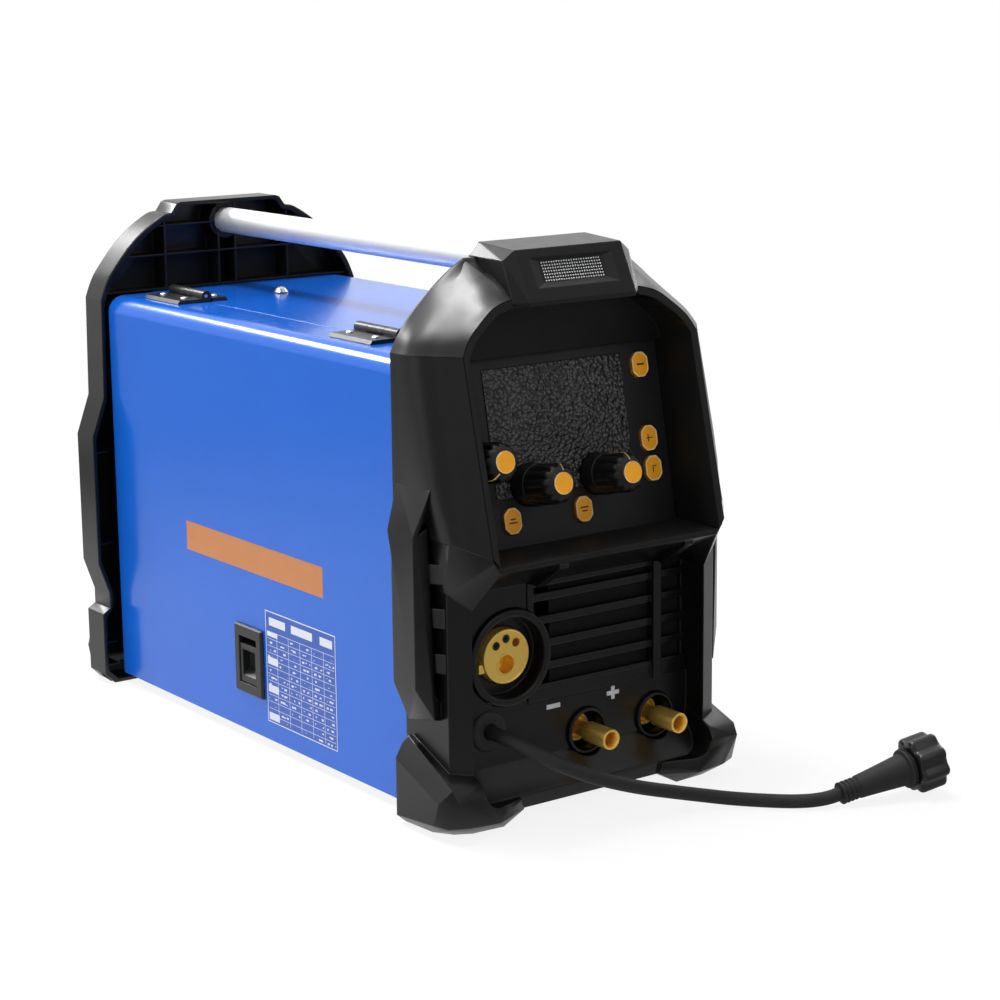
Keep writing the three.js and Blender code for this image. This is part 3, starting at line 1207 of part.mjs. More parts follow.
function outputChoke() {
  const low = baseTop + fit;
  const [[x0, x1], [y0, y1]] = [chokeX, chokeY];
  const core = block(x0, x1, y0, y1, low, low + chokeHeight);
  const windows = [14, 40].map((z) => block(x0 + 12, x1 - 12, y0 - 5, y1 + 5, low + z, low + z + 8));
  return cut(core, windows);
}

const roofScrew = () => turned([[0, 0], [6, 0], [6, 0.8], [4.6, 3], [2.5, 4.3], [0, 4.6]],
  [roofScrewX, roofScrewY, coverTop + fit], [0, 0, 1], 16);

// ---------------------------------------------------------------- assembly
piece('base_plate', basePlate(), zincSteel);
piece('fixed_cover', fixedCover(), bluePaint);
piece('divider_wall', dividerWall(), zincSteel);
piece('front_bezel', frontBezel(), blackPlastic);
piece('rear_bezel', rearBezel(), blackPlastic);
piece('front_cap', frontCap(), blackPlastic);
piece('carry_tube', carryTube(), satinTube);
piece('roof_screw', roofScrew(), zincSteel);

piece('side_door', sideDoor(), bluePaint);
hingeStarts.forEach((start, i) => {
  piece(`${hingeNames[i]}_hinge_fixed_leaf`, hingeLeaf(1, start), blackZinc);
  piece(`${hingeNames[i]}_hinge_door_leaf`, hingeLeaf(-1, start), blackZinc);
  piece(`${hingeNames[i]}_hinge_pin`, hingePin(start), zincSteel);
});
piece('latch_frame', latchFrame(), blackPlastic);
piece('latch_slider', latchSliderPiece(), blackPlastic);
piece('latch_keeper', latchKeeper(), zincSteel);

piece('control_fascia', controlFascia(), blackPlastic);
piece('display_window', displayWindow(), displayFilm);
piece('control_board', controlBoard(), circuitGreen);
knobPlaces.forEach(([x, z], i) => piece(knobNames[i], knob(x, z), knobPlastic));
buttonPlaces.forEach(([x, z], i) =>
  piece(buttonNames[i], onPanel(buttonPrism(0, -buttonDepth, buttonProud), x, z), orangePlastic));

piece('front_grille', frontGrille(), blackPlastic);
piece('grille_screen', grilleScreen(), knobPlastic);
piece('torch_socket_ring', torchSocketRing(), blackPlastic);
piece('torch_socket_brass', torchSocketBrass(), brass);
['minus', 'plus'].forEach((sign, i) => {
  piece(`${sign}_socket_ring`, socketRing(socketX[i]), blackPlastic);
  piece(`${sign}_socket_tube`, socketTube(socketX[i]), brass);
});
piece('cord_grommet', cordGrommet(), rubber);
piece('changeover_lead', changeoverLead(), rubber);
piece('plug_body', plugBody(), rubber);
piece('plug_ring', plugRing(), blackPlastic);

piece('fan_frame', fanFrame(), greyPlastic);
piece('fan_rotor', fanRotor(), greyPlastic);
piece('switch_housing', switchHousing(), blackPlastic);
piece('switch_rocker', switchRocker(), knobPlastic);
piece('mains_gland', mainsGland(), rubber);
piece('gas_inlet', gasInlet(), brass);

piece('spool_hub', spoolHub(), greyPlastic);
piece('spool_nut', spoolNut(), greyPlastic);
piece('wire_spool', wireSpool(), knobPlastic);
piece('wound_wire', woundWire(), wireCopper);
piece('feed_plate', feedPlate(), bareAluminium);
piece('gear_motor', gearMotor(), zincSteel);
piece('drive_roll', driveRoll(), zincSteel);
piece('press_roll', pressRoll(), zincSteel);
piece('pressure_arm', pressureArm(), bareAluminium);
piece('tension_knob', tensionKnob(), knobPlastic);

piece('heat_sink', heatSink(), bareAluminium);
piece('inverter_board', inverterBoard(), circuitGreen);
piece('output_choke', outputChoke(), blackZinc);

const leadPieces = ['changeover_lead', 'plug_body', 'plug_ring'];
const box = new THREE.Box3();
machine.children.filter((mesh) => !leadPieces.includes(mesh.name)).forEach((mesh) => box.expandByObject(mesh));
machine.position.set(-(box.min.x + box.max.x) / 2, -(box.min.y + box.max.y) / 2, -box.min.z);

export default machine;
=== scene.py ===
import json
import math

import bmesh
import bpy
from mathutils import Matrix, Vector


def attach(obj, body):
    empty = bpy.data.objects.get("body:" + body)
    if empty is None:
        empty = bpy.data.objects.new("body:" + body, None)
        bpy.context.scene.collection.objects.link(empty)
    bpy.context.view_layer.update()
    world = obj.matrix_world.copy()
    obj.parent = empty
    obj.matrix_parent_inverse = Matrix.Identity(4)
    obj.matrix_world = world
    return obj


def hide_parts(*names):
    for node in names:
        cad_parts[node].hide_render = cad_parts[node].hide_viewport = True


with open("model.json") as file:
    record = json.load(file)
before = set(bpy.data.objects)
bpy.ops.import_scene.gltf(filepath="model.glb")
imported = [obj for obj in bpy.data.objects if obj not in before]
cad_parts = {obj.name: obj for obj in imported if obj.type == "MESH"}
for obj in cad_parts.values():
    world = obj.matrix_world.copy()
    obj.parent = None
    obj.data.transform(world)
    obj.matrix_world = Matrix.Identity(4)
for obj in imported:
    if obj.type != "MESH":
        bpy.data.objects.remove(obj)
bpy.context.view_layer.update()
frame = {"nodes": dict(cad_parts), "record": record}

parts = frame["nodes"]
bodies = frame["record"]["behaviour"]["bodies"]
body_of_part = {part: body for body, held in bodies.items() for part in held}


# ---- Studio --------------------------------------------------------------------------------------------
# The machine stands on a pale floor in a white room, lit by large soft lamps from the left and from
# above. The long lens stands to the left of the control panel and a little above it.
scene = bpy.context.scene
scene.view_settings.view_transform = "Standard"

lens = bpy.data.cameras.new("lens")
lens.lens = 89.25
lens.sensor_width = 36.0
lens.sensor_fit = "HORIZONTAL"
camera = bpy.data.objects.new("camera", lens)
scene.collection.objects.link(camera)
scene.camera = camera
camera_right = Vector((0.80679, -0.59079, -0.01101))
camera_up = Vector((0.13350, 0.16411, 0.97735))
camera.matrix_world = Matrix.Translation((-0.9855, -1.4927, 0.5542)) @ Matrix(
    (camera_right, camera_up, camera_right.cross(camera_up))).transposed().to_4x4()


class Wire:
    """One output of a shader node. Sums, products and comparisons of wires and numbers add Math nodes."""

    def __init__(self, sheet, socket):
        self.sheet, self.socket = sheet, socket

    def worked(self, operation, *values):
        return self.sheet.node("ShaderNodeMath", {"operation": operation}, *values)

    def __add__(self, other):
        return self.worked("ADD", self, other)

    __radd__ = __add__

    def __sub__(self, other):
        return self.worked("SUBTRACT", self, other)

    def __rsub__(self, other):
        return self.worked("SUBTRACT", other, self)

    def __mul__(self, other):
        return self.worked("MULTIPLY", self, other)

    __rmul__ = __mul__

    def __mod__(self, other):
        return self.worked("FLOORED_MODULO", self, other)

    def __gt__(self, other):
        return self.worked("GREATER_THAN", self, other)

    def __lt__(self, other):
        return self.worked("LESS_THAN", self, other)

    def __abs__(self):
        return self.worked("ABSOLUTE", self)

    def between(self, low, high):
        return (self > low) * (self < high)

    def larger(self, other):
        return self.worked("MAXIMUM", self, other)


class NodeSheet:
    """A tree of shader nodes."""

    def __init__(self, tree):
        self.tree = tree

    def feed(self, socket, value):
        if isinstance(value, Wire):
            self.tree.links.new(value.socket, socket)
        elif value is not None:
            socket.default_value = value

    def node(self, kind, settings, *values, output=0, **named):
        made = self.tree.nodes.new(kind)
        for setting, value in settings.items():
            setattr(made, setting, value)
        for place, value in enumerate(values):
            self.feed(made.inputs[place], value)
        for place, value in named.items():
            self.feed(made.inputs[place.replace("_", " ")], value)
        return Wire(self, made.outputs[output])

    def mix(self, factor, first, second):
        """Blends two colours."""
        first, second = [(*tone, 1.0) if isinstance(tone, tuple) and len(tone) == 3 else tone
                         for tone in (first, second)]
        return self.node("ShaderNodeMix", {"data_type": "RGBA"}, factor, None, None, None, None, None,
                         first, second, output=2)

    def grey(self, value):
        """A wire of numbers as a grey."""
        return self.mix(value, (0.0, 0.0, 0.0), (1.0, 1.0, 1.0))

    def rays(self):
        """The kinds of light ray, by name."""
        kinds = self.node("ShaderNodeLightPath", {}).socket.node.outputs
        return {kind.name: Wire(self, kind) for kind in kinds}

    def place(self):
        return self.node("ShaderNodeTexCoord", {}, output=3)

    def along(self, place=None):
        """The x, y and z of a place on the object."""
        split = self.node("ShaderNodeSeparateXYZ", {}, place or self.place())
        return [split] + [Wire(self, split.socket.node.outputs[i]) for i in (1, 2)]

    def grain(self, scale, detail=2.0, roughness=0.5, stretch=None):
        """Noise from 0 to 1, with this many waves in a metre."""
        place = self.place()
        if stretch:
            place = self.node("ShaderNodeVectorMath", {"operation": "MULTIPLY"}, place, stretch)
        return self.node("ShaderNodeTexNoise", {}, Vector=place, Scale=scale, Detail=detail,
                         Roughness=roughness)

    def cells(self, scale, feature="F1", output=0):
        return self.node("ShaderNodeTexVoronoi", {"feature": feature}, output=output, Vector=self.place(),
                         Scale=scale)


class Finish(NodeSheet):
    """A material: its constants are set on the shader, and what varies is fed to it."""

    def __init__(self, name, **constants):
        self.material = bpy.data.materials.new(name)
        self.material.use_nodes = True
        super().__init__(self.material.node_tree)
        self.shader = self.tree.nodes["Principled BSDF"]
        self.set(**constants)

    def set(self, **values):
        for socket, value in values.items():
            if isinstance(value, tuple) and len(value) == 3:
                value = (*value, 1.0)
            self.feed(self.shader.inputs[socket.replace("_", " ")], value)

    def mottled(self, dark, light, blotches, roughness, spread, specks):
        """Blotches of two tones, and specks that add up to the spread to the roughness. Blotches and
        specks are given as waves in a metre and detail."""
        self.set(Base_Color=self.mix(self.grain(*blotches), dark, light),
                 Roughness=roughness + spread * self.grain(*specks))

    def relief(self, height, depth, strength=1.0, base=None):
        """Raises the surface by height, a wire from 0 to 1, times depth in metres."""
        bump = self.node("ShaderNodeBump", {}, Strength=strength, Distance=depth, Height=height,
                         Normal=base)
        self.set(Normal=bump)


room = bpy.data.worlds.new("room")
room.use_nodes = True
scene.world = room
sky = NodeSheet(room.node_tree)
rays = sky.rays()
heading = sky.along(sky.node("ShaderNodeTexCoord", {}))
# The lens sees a white room. Mirrors see it dim in front of the machine, and white behind and above it.
room_light = 0.42
front_gloss = 0.42
behind = sky.node("ShaderNodeMapRange", {"clamp": True}, heading[1], -0.35, 0.55, front_gloss, 1.0)
above = sky.node("ShaderNodeMapRange", {"clamp": True}, heading[2], 0.25, 0.8, 0.0, 0.8)
direct = rays["Is Camera Ray"].larger(rays["Is Transmission Ray"])
mirrored = rays["Is Glossy Ray"] * (1 - direct)
background = sky.tree.nodes["Background"]
background.inputs["Color"].default_value = (1.0, 1.0, 1.0, 1.0)
sky.feed(background.inputs["Strength"],
         room_light + direct * (1 - room_light) + mirrored * (behind.larger(above) - room_light))


def lamp(name, at, aim, width, height, power):
    light = bpy.data.lights.new(name, "AREA")
    light.shape = "RECTANGLE"
    light.size, light.size_y = width, height
    light.energy = power
    made = bpy.data.objects.new(name, light)
    made.location = at
    made.rotation_euler = (Vector(aim) - Vector(at)).to_track_quat("-Z", "Y").to_euler()
    scene.collection.objects.link(made)


lamp("left_softbox", (-2.2, 0.1, 1.3), (0.0, 0.0, 0.2), 1.6, 1.4, 12.0)
lamp("top_softbox", (-0.3, 0.5, 2.4), (0.0, 0.0, 0.3), 1.8, 1.6, 21.0)
lamp("back_softbox", (-0.8, 3.0, 2.4), (0.0, 0.0, 0.3), 1.2, 0.6, 75.0)
lamp("shoulder_lamp", (-0.33, 0.25, 2.4), (-0.08, -0.2, 0.34), 0.4, 0.38, 27.0)
lamp("right_strip", (1.9, 0.4, 1.1), (0.1, -0.2, 0.25), 0.4, 1.6, 8.0)
lamp("front_fill", (0.2, -2.6, 1.6), (0.0, -0.2, 0.2), 0.9, 0.6, 3.5)

floor_finish = Finish("studio_floor", Base_Color=(0.9, 0.9, 0.9), Roughness=0.9)
floor_rays = floor_finish.rays()
floor_x, floor_y, _ = floor_finish.along()
away_squared = floor_x * floor_x + floor_y * floor_y
away = away_squared.worked("POWER", away_squared, 0.5)
paleness = floor_finish.node("ShaderNodeMapRange", {"clamp": True}, away, 0.5, 1.6, 0.86, 1.0)
# The floor glows. The lens sees it near white, with a faint shadow of the machine, and mirrors see its glow
# dimmed in front of the machine and brightest just behind it: a painted reflection.
front_dusk = floor_finish.node("ShaderNodeMapRange", {"clamp": True}, floor_y, -0.42, -0.1, 0.26, 1.0)
back_fade = floor_finish.node("ShaderNodeMapRange", {"clamp": True}, floor_y, 0.3, 1.2, 1.1, 0.35)
floor_mirrored = floor_rays["Is Glossy Ray"].larger(floor_rays["Is Transmission Ray"])
glow_tone = floor_finish.mix(floor_mirrored, (1.0, 1.0, 1.0), floor_finish.grey(front_dusk * back_fade))
glow = floor_finish.node("ShaderNodeEmission", {}, glow_tone, 1.0)
floor_share = (floor_rays["Is Camera Ray"] * paleness).larger(floor_mirrored)
floor_mix = floor_finish.node("ShaderNodeMixShader", {}, floor_share,
                              Wire(floor_finish, floor_finish.shader.outputs[0]), glow)
floor_finish.tree.links.new(floor_mix.socket,
                            floor_finish.tree.nodes["Material Output"].inputs["Surface"])
floor_mesh = bpy.data.meshes.new("floor")
floor_mesh.from_pydata([(-12, -12, 0), (12, -12, 0), (12, 12, 0), (-12, 12, 0)], [], [(0, 1, 2, 3)])
floor_mesh.materials.append(floor_finish.material)
studio_floor = bpy.data.objects.new("studio_floor", floor_mesh)
scene.collection.objects.link(studio_floor)


# ---- Changeover lead -----------------------------------------------------------------------------------
# A short rubber-sheathed welding lead comes out of the lower face and lies in front of the machine. Its
# plug has a tapered rubber boot with strain-relief ribs and a lobed ring that locks it in either output
# socket.
rubber = Finish("matt_rubber", Specular_IOR_Level=0.35)
rubber.mottled((0.010, 0.010, 0.011), (0.017, 0.017, 0.018), (90, 4), 0.55, 0.2, (700, 3))
rubber.relief(rubber.grain(1500, 4, 0.7), 0.00006)

datum = 0.167  # the frame's zero lies this far behind the plane that the sizes below are counted from
lead_radius = 0.00475
lead_route = [
    (-0.0724, -0.051, 0.0605), (-0.0724, -0.0575, 0.0605), (-0.0719, -0.0665, 0.0601),
    (-0.07, -0.0763, 0.0588), (-0.0664, -0.0855, 0.0562), (-0.0606, -0.0942, 0.0522),
    (-0.0525, -0.1017, 0.047), (-0.0425, -0.1077, 0.0415), (-0.0312, -0.1121, 0.036),
    (-0.0193, -0.1152, 0.031), (-0.0069, -0.1172, 0.0264), (0.0053, -0.1187, 0.0222),
    (0.0176, -0.1202, 0.0184), (0.03, -0.1222, 0.0149), (0.0422, -0.1251, 0.0117),
    (0.0542, -0.1294, 0.0089), (0.0652, -0.1355, 0.0068), (0.0756, -0.1433, 0.0056),
    (0.0853, -0.152, 0.0051), (0.0944, -0.1607, 0.005), (0.103, -0.1681, 0.0052),
    (0.112, -0.1745, 0.0059), (0.1203, -0.1786, 0.0071), (0.1274, -0.1807, 0.0086),
]
lead_curve = bpy.data.curves.new("changeover_lead_sheath", "CURVE")
lead_curve.dimensions = "3D"
lead_curve.bevel_depth = lead_radius
lead_curve.bevel_resolution = 7
lead_curve.resolution_u = 10
lead_curve.use_fill_caps = True
lead_line = lead_curve.splines.new("BEZIER")
lead_line.bezier_points.add(len(lead_route) - 1)
for point, (x, y, z) in zip(lead_line.bezier_points, lead_route):
    point.co = (x, y - datum, z)
    point.handle_left_type = point.handle_right_type = "AUTO"
lead = bpy.data.objects.new("changeover_lead_sheath", lead_curve)
scene.collection.objects.link(lead)
lead.data.materials.append(rubber.material)
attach(lead, "machine")
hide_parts("changeover_lead")


def finished(name, shell, finishes, body, crease=35):
    """Makes a piece of a bmesh: smooth shading apart from its creases, one body and a slot for each finish.
    """
    mesh = bpy.data.meshes.new(name)
    shell.to_mesh(mesh)
    shell.free()
    mesh.shade_smooth()
    mesh.set_sharp_from_angle(angle=math.radians(crease))
    for finish in finishes:
        mesh.materials.append(finish.material)
    piece = bpy.data.objects.new(name, mesh)
    scene.collection.objects.link(piece)
    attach(piece, body)
    return piece


def spun(name, profile, at, way, finish, part=None, turns=64, body=None, crease=32, lobe=None):
    """A piece turned about a line. The profile lists radius and distance in millimetres, and lobe may
    move the radius with the distance and the angle."""
    turn = Vector((0, 0, 1)).rotation_difference(Vector(way).normalized()).to_matrix()
    shell = bmesh.new()
    rings = []
    for radius, reach in profile:
        ring = []
        for step in range(turns if radius else 1):
            angle = 2 * math.pi * step / turns
            r = lobe(radius, reach, angle) if lobe and radius else radius
            spot = turn @ Vector((r * math.cos(angle), r * math.sin(angle), reach)) / 1000
            ring.append(shell.verts.new(at + spot))
        rings.append(ring)
    for ring, after in zip(rings, rings[1:]):
        for step in range(turns):
            a, b = ring[step % len(ring)], ring[(step + 1) % len(ring)]
            c, d = after[(step + 1) % len(after)], after[step % len(after)]
            corners = [v for i, v in enumerate((a, b, c, d)) if v not in (a, b, c, d)[:i]]
            if len(corners) > 2:
                shell.faces.new(corners)
    bmesh.ops.remove_doubles(shell, verts=shell.verts, dist=1e-7)
    bmesh.ops.recalc_face_normals(shell, faces=shell.faces)
    piece = finished(name, shell, [finish], body or body_of_part[part], crease)
    if part:
        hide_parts(part)
    return piece


plug_plastic = Finish("plug_plastic", Specular_IOR_Level=0.45)
plug_plastic.mottled((0.006, 0.006, 0.007), (0.011, 0.011, 0.012), (160, 3), 0.28, 0.14, (900, 3))
plug_plastic.relief(plug_plastic.grain(2200, 2), 0.00001)
plug_way = Vector((67.3, -15.3, 14)).normalized()
plug_start = Vector(lead_route[-1]) + Vector((0, -datum, 0)) + plug_way * 0.0003
boot_ribs = []
for rib in range(4):
    boot_ribs += [(radius, 3.2 * rib + reach) for radius, reach in
                  ((7.3, 0.1), (7.6, 0.4), (7.6, 1.3), (7.2, 1.7), (6.6, 1.9), (6.5, 2.5), (6.7, 3.0))]
boot_profile = [
    (0, 0), *boot_ribs, (7.5, 13.2), (7.9, 14), (8.7, 24), (9.7, 35), (10.6, 44), (10.9, 47.5),
    (11.2, 49.8), (12.6, 50.2), (13.4, 50.5), (13.6, 50.9), (13.6, 51.7), (12.9, 52.0), (12.9, 52.6),
    (13.6, 52.9), (13.6, 53.6), (13.2, 54), (11, 54), (11, 56), (10.3, 56.3), (10.3, 57.3), (11, 57.6),
    (11, 59.2), (10.3, 59.5), (10.3, 60.5), (11, 60.8), (11, 69.5), (10.5, 70), (0, 70),
]
plug_boot = spun("plug_boot", boot_profile, plug_start, plug_way, rubber, "plug_body", 56,
                 crease=50)
lock_profile = [
    (11.6, 56.2), (12.0, 55.5), (17.0, 55.5), (18.6, 56.0), (19.4, 57.2), (19.6, 58.6), (19.6, 66),
    (19.6, 73), (19.3, 74.6), (18.4, 75.7), (17.0, 76), (16.0, 76), (15.5, 75.4), (15.5, 63.5),
    (11.6, 63.5), (11.6, 56.2),
]
lock_bore = 15.5
lock_lobes = 8
lock_scallop = 3.0


def scalloped(radius, reach, angle):
    """Scoops between the ring's lobes. They start at its bore and are whole 2.5 mm further out."""
    share = min(max((radius - lock_bore) / 2.5, 0), 1)
    return radius - lock_scallop * share * abs(math.sin(lock_lobes * angle / 2)) ** 2.2


plug_lock = spun("plug_lock_ring", lock_profile, plug_start, plug_way, plug_plastic,
                 "plug_ring", 128, crease=40, lobe=scalloped)


# ---- Front and rear bezels -----------------------------------------------------------------------------
# Two large black injection mouldings close the ends of the case and carry its feet, corner guards and
# tube. Their outside has a fine spark-eroded grain, coarser inside the hood's mouth, and the hood's
# shoulders and the rear arch curve over in one smooth sweep.
moulded = Finish("moulded_black", Specular_IOR_Level=0.36)
across, _, upward = moulded.along()
mouth_half, mouth_low, mouth_high, mouth_slant = 0.0935, 0.18, 0.335, 0.404
in_mouth = (abs(across) < mouth_half) * upward.between(mouth_low, mouth_high)
in_mouth = in_mouth * (abs(across) + upward < mouth_slant)
moulded_edge = moulded.node("ShaderNodeBevel", {"samples": 8}, 0.0015)
moulded_tone = moulded.mix(moulded.grain(40, 4), (0.0028, 0.0028, 0.0030), (0.0050, 0.0050, 0.0053))
moulded.set(Base_Color=moulded_tone, Roughness=0.25 + 0.10 * moulded.grain(120, 4) + 0.3 * in_mouth)
moulded.relief(moulded.grain(1400, 2, 0.6), 0.000008, 0.35, moulded_edge)


def eased(part, radius, finish, angle=30, segments=2):
    """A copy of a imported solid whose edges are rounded, as moulding, casting or deburring leaves them."""
    shell = bmesh.new()
    shell.from_mesh(parts[part].data)
    bmesh.ops.remove_doubles(shell, verts=shell.verts, dist=1e-6)
    bmesh.ops.dissolve_limit(shell, angle_limit=math.radians(0.8), verts=shell.verts, edges=shell.edges)
    mesh = bpy.data.meshes.new(part + "_eased")
    shell.to_mesh(mesh)
    shell.free()
    mesh.shade_smooth()
    mesh.set_sharp_from_angle(angle=math.radians(angle))
    mesh.materials.append(finish.material)
    piece = bpy.data.objects.new(part + "_eased", mesh)
    scene.collection.objects.link(piece)
    bevel = piece.modifiers.new("eased", "BEVEL")
    bevel.width = radius
    bevel.segments = segments
    bevel.limit_method = "ANGLE"
    bevel.angle_limit = math.radians(angle)
    bevel.harden_normals = True
    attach(piece, body_of_part[part])
    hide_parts(part)
    return piece


eased("front_bezel", 0.0008, moulded, 32)
eased("rear_bezel", 0.0008, moulded, 24)


def local(x, y, z):
    """A place in the machine, from millimetres counted along it from the datum."""
    return Vector((x / 1000, y / 1000 - datum, z / 1000))


def smooth_line(points, count):
    """Evenly spaced places on the smooth curve through the points."""
    padded = [2 * points[0] - points[1], *points, 2 * points[-1] - points[-2]]
    fine = []
    for a, b, c, d in zip(padded, padded[1:], padded[2:], padded[3:]):
        for step in range(12):
            t = step / 12
            fine.append(0.5 * (2 * b + (c - a) * t + (2 * a - 5 * b + 4 * c - d) * t * t
                               + (3 * b - a - 3 * c + d) * t * t * t))
    fine.append(points[-1].copy())
    reach = [0.0]
    for here, there in zip(fine, fine[1:]):
        reach.append(reach[-1] + (there - here).length)
    line = []
    at = 0
    for step in range(count):
        wanted = reach[-1] * step / (count - 1)
        while at < len(fine) - 2 and reach[at + 1] < wanted:
            at += 1
        share = (wanted - reach[at]) / max(reach[at + 1] - reach[at], 1e-9)
        line.append(fine[at].lerp(fine[at + 1], min(max(share, 0.0), 1.0)))
    return line


def sheet_over(name, patches, finish, proud=0.0, furthest=1.0):
    """A skin through rows of places, given for the right side and mirrored to the left. It stands proud
    of them, and no part of it goes further back than the furthest y."""
    shell = bmesh.new()
    for rows in patches:
        for side in (1, -1):
            grid = [[shell.verts.new((side * p.x, p.y, p.z)) for p in row] for row in rows]
            for row, after in zip(grid, grid[1:]):
                for a, b, c, d in zip(row, row[1:], after[1:], after):
                    shell.faces.new((a, b, c, d) if side > 0 else (d, c, b, a))
    bmesh.ops.remove_doubles(shell, verts=[v for v in shell.verts if abs(v.co.x) < 1e-6], dist=1e-6)
    shell.normal_update()
    if proud:
        for vert, way in [(vert, vert.normal.copy()) for vert in shell.verts]:
            vert.co += way * proud
            vert.co.y = min(vert.co.y, furthest)
    return finished(name, shell, [finish], "machine", 20)


rim_top_z = 312.5
rim_y = -67.0
rim_lean = 0.24
hood_back_y = -19.0
hood_proud = 0.0008
hood_rings = [
    # how far back from the rim, the side's outline from the bottom up, and the shoulder's up to the crown
    (None, [(115.8, 197), (115.8, 311)],
     [(115.8, 311), (110, 321.4), (101, 332.9), (85.7, 347.4), (71, 358.6), (60.5, 365)]),
    (None, [(118.5, 196), (118.5, 312.5)],
     [(118.5, 312.5), (112.6, 323.4), (103, 335.2), (87.2, 350), (72, 361.5), (61, 368)]),
    (28, [(113.5, 196), (117.2, 222), (118, 244), (118, 312.5)],
     [(118, 312.5), (111, 322.5), (97.5, 334.5), (80.5, 348.5), (64.5, 359.5), (56, 362)]),
    (15, [(108.5, 194), (108.5, 312.5)],
     [(108.5, 312.5), (101.5, 322), (89.5, 333), (76, 344), (64, 352), (54, 355.5)]),
    (5.5, [(100.5, 190), (100.5, 312.5)],
     [(100.5, 312.5), (94, 322.3), (83.5, 332.2), (70.5, 342), (54, 349)]),
    (0, [(96, 187.5), (96, 312.5)], [(96, 312.5), (89.5, 322.5), (79.5, 331.5), (66, 340.7), (50, 345)]),
]
mouth_rings = [
    (0, [(96, 187.5), (96, 312.5)], [(96, 312.5), (89.5, 322.5), (79.5, 331.5), (66, 340.7), (50, 345)]),
    (0, [(91.9, 181.5), (91.9, 311)],
     [(91.9, 311), (85.9, 320), (76.9, 328), (63.9, 336.6), (50, 340.5)]),
    (20, [(90.9, 182.5), (90.9, 310)],
     [(90.9, 310), (84.9, 319), (75.9, 327), (62.9, 335.6), (49, 339.5)]),
]


def hood_place(back, x, z):
    """A place set back from the leaning rim, or on the hood's back edge where no setback is given."""
    y = hood_back_y if back is None else rim_y - (rim_top_z - z) * rim_lean + back
    return local(x, y, z)


def crosswise(rows, count):
    """Draws smooth lines across a set of rows."""
    return [list(row) for row in zip(*(smooth_line(list(line), count) for line in zip(*rows)))]


def hood_rows(rings, stretch, count):
    """The rings' sides, for stretch 1, or their shoulders and crown, for stretch 2."""
    rows = []
    for ring in rings:
        line = [hood_place(ring[0], x, z) for x, z in ring[stretch]]
        if stretch == 1:
            rows.append([line[0].lerp(line[-1], step / (count - 1)) if len(line) == 2 else p
                         for step, p in enumerate(smooth_line(line, count))])
        else:
            end = line[-1]
            rows.append(smooth_line(line, count) + [Vector((0.0, end.y, end.z))])
    return rows


patches = []
for stretch, count in ((1, 10), (2, 30)):
    outside = hood_rows(hood_rings, stretch, count)
    patches.append([outside[0]] + crosswise(outside[1:], 26))
    patches.append(hood_rows(mouth_rings, stretch, count))
hood_furthest = local(0, hood_back_y - 0.1, 0).y
sheet_over("hood_skin", patches, moulded, hood_proud, hood_furthest)

rear_arch = [(115.5, 305), (111.5, 315), (106, 324.5), (91, 342.5), (76, 355.8), (60, 365.8),
             (51.5, 367.5)]
rear_turns = [
    # how far along the machine, and how far inside the arch's outline
    (386.1, 3.0), (386.08, 2.8), (386.06, 0.7), (386.8, 0.0), (411.4, 0.0), (412.2, 0.8), (412.2, 4.0),
]
rear_curve = smooth_line([Vector((x, 0, z)) for x, z in rear_arch], 40)
inward = 0.75
rear_rows = []
for y, inset in rear_turns:
    rear_rows.append([local(p.x - inset * inward, y, p.z - inset * inward) for p in rear_curve])
arch_proud = 0.0003
sheet_over("rear_arch_skin", [rear_rows[::-1]], moulded, arch_proud)


# ---- Front cap -----------------------------------------------------------------------------------------
# A separate moulded cap closes the front end of the carry tube. Its front has a shallow dish whose floor
# is printed with rows of small white dots.
eased("front_cap", 0.0009, moulded, 14, 3)
dot_paint = Finish("white_dot_paint", Roughness=0.5)
dot_paint.set(Base_Color=dot_paint.mix(dot_paint.grain(300), (0.70, 0.71, 0.72), (0.82, 0.83, 0.84)))
cap_top, cap_bottom = Vector((0, -51, 375)), Vector((0, -67.6, 342.6))
cap_slope = (cap_top.y - cap_bottom.y) / (cap_top.z - cap_bottom.z)
dish_depth = 2.35
lowest_dot_z = 354.6
dots_high = 11.2
dots_wide = 47.0
dot_rows = 7
dots_in_row = 24
dots = bmesh.new()
cap_out = Vector((0, -1, cap_slope)).normalized()
for row in range(dot_rows):
    for column in range(dots_in_row):
        z = lowest_dot_z + dots_high * row / (dot_rows - 1)
        x = dots_wide * (column / (dots_in_row - 1) - 0.5)
        y = cap_top.y - (cap_top.z - z) * cap_slope + dish_depth
        turn = cap_out.to_track_quat("Z", "Y").to_matrix().to_4x4()
        bmesh.ops.create_cone(dots, cap_ends=True, segments=8, radius1=0.00068, radius2=0.0004,
                              depth=0.0005, matrix=Matrix.Translation(local(x, y, z)) @ turn)
finished("cap_dots", dots, [dot_paint], "machine")


# ---- Sheet-steel case ----------------------------------------------------------------------------------
# Folded steel sheet, powder-coated glossy blue: a fixed cover, held by zinc-plated screws, and a door
# that hangs from two hinges on the roof. Base plate and dividing wall are bare zinc-coated sheet. An
# orange vinyl banner and a printed table of settings are stuck on the door.
blue = Finish("blue_powder_coat", Coat_Weight=0.12, Coat_Roughness=0.04, Specular_IOR_Level=0.35)
blue.mottled((0.006, 0.104, 0.525), (0.008, 0.118, 0.570), (12, 3), 0.16, 0.08, (180, 4))
blue.relief(blue.grain(420, 3, 0.55), 0.00001, 0.35)
eased("fixed_cover", 0.0004, blue, 40)
eased("side_door", 0.0004, blue, 40)

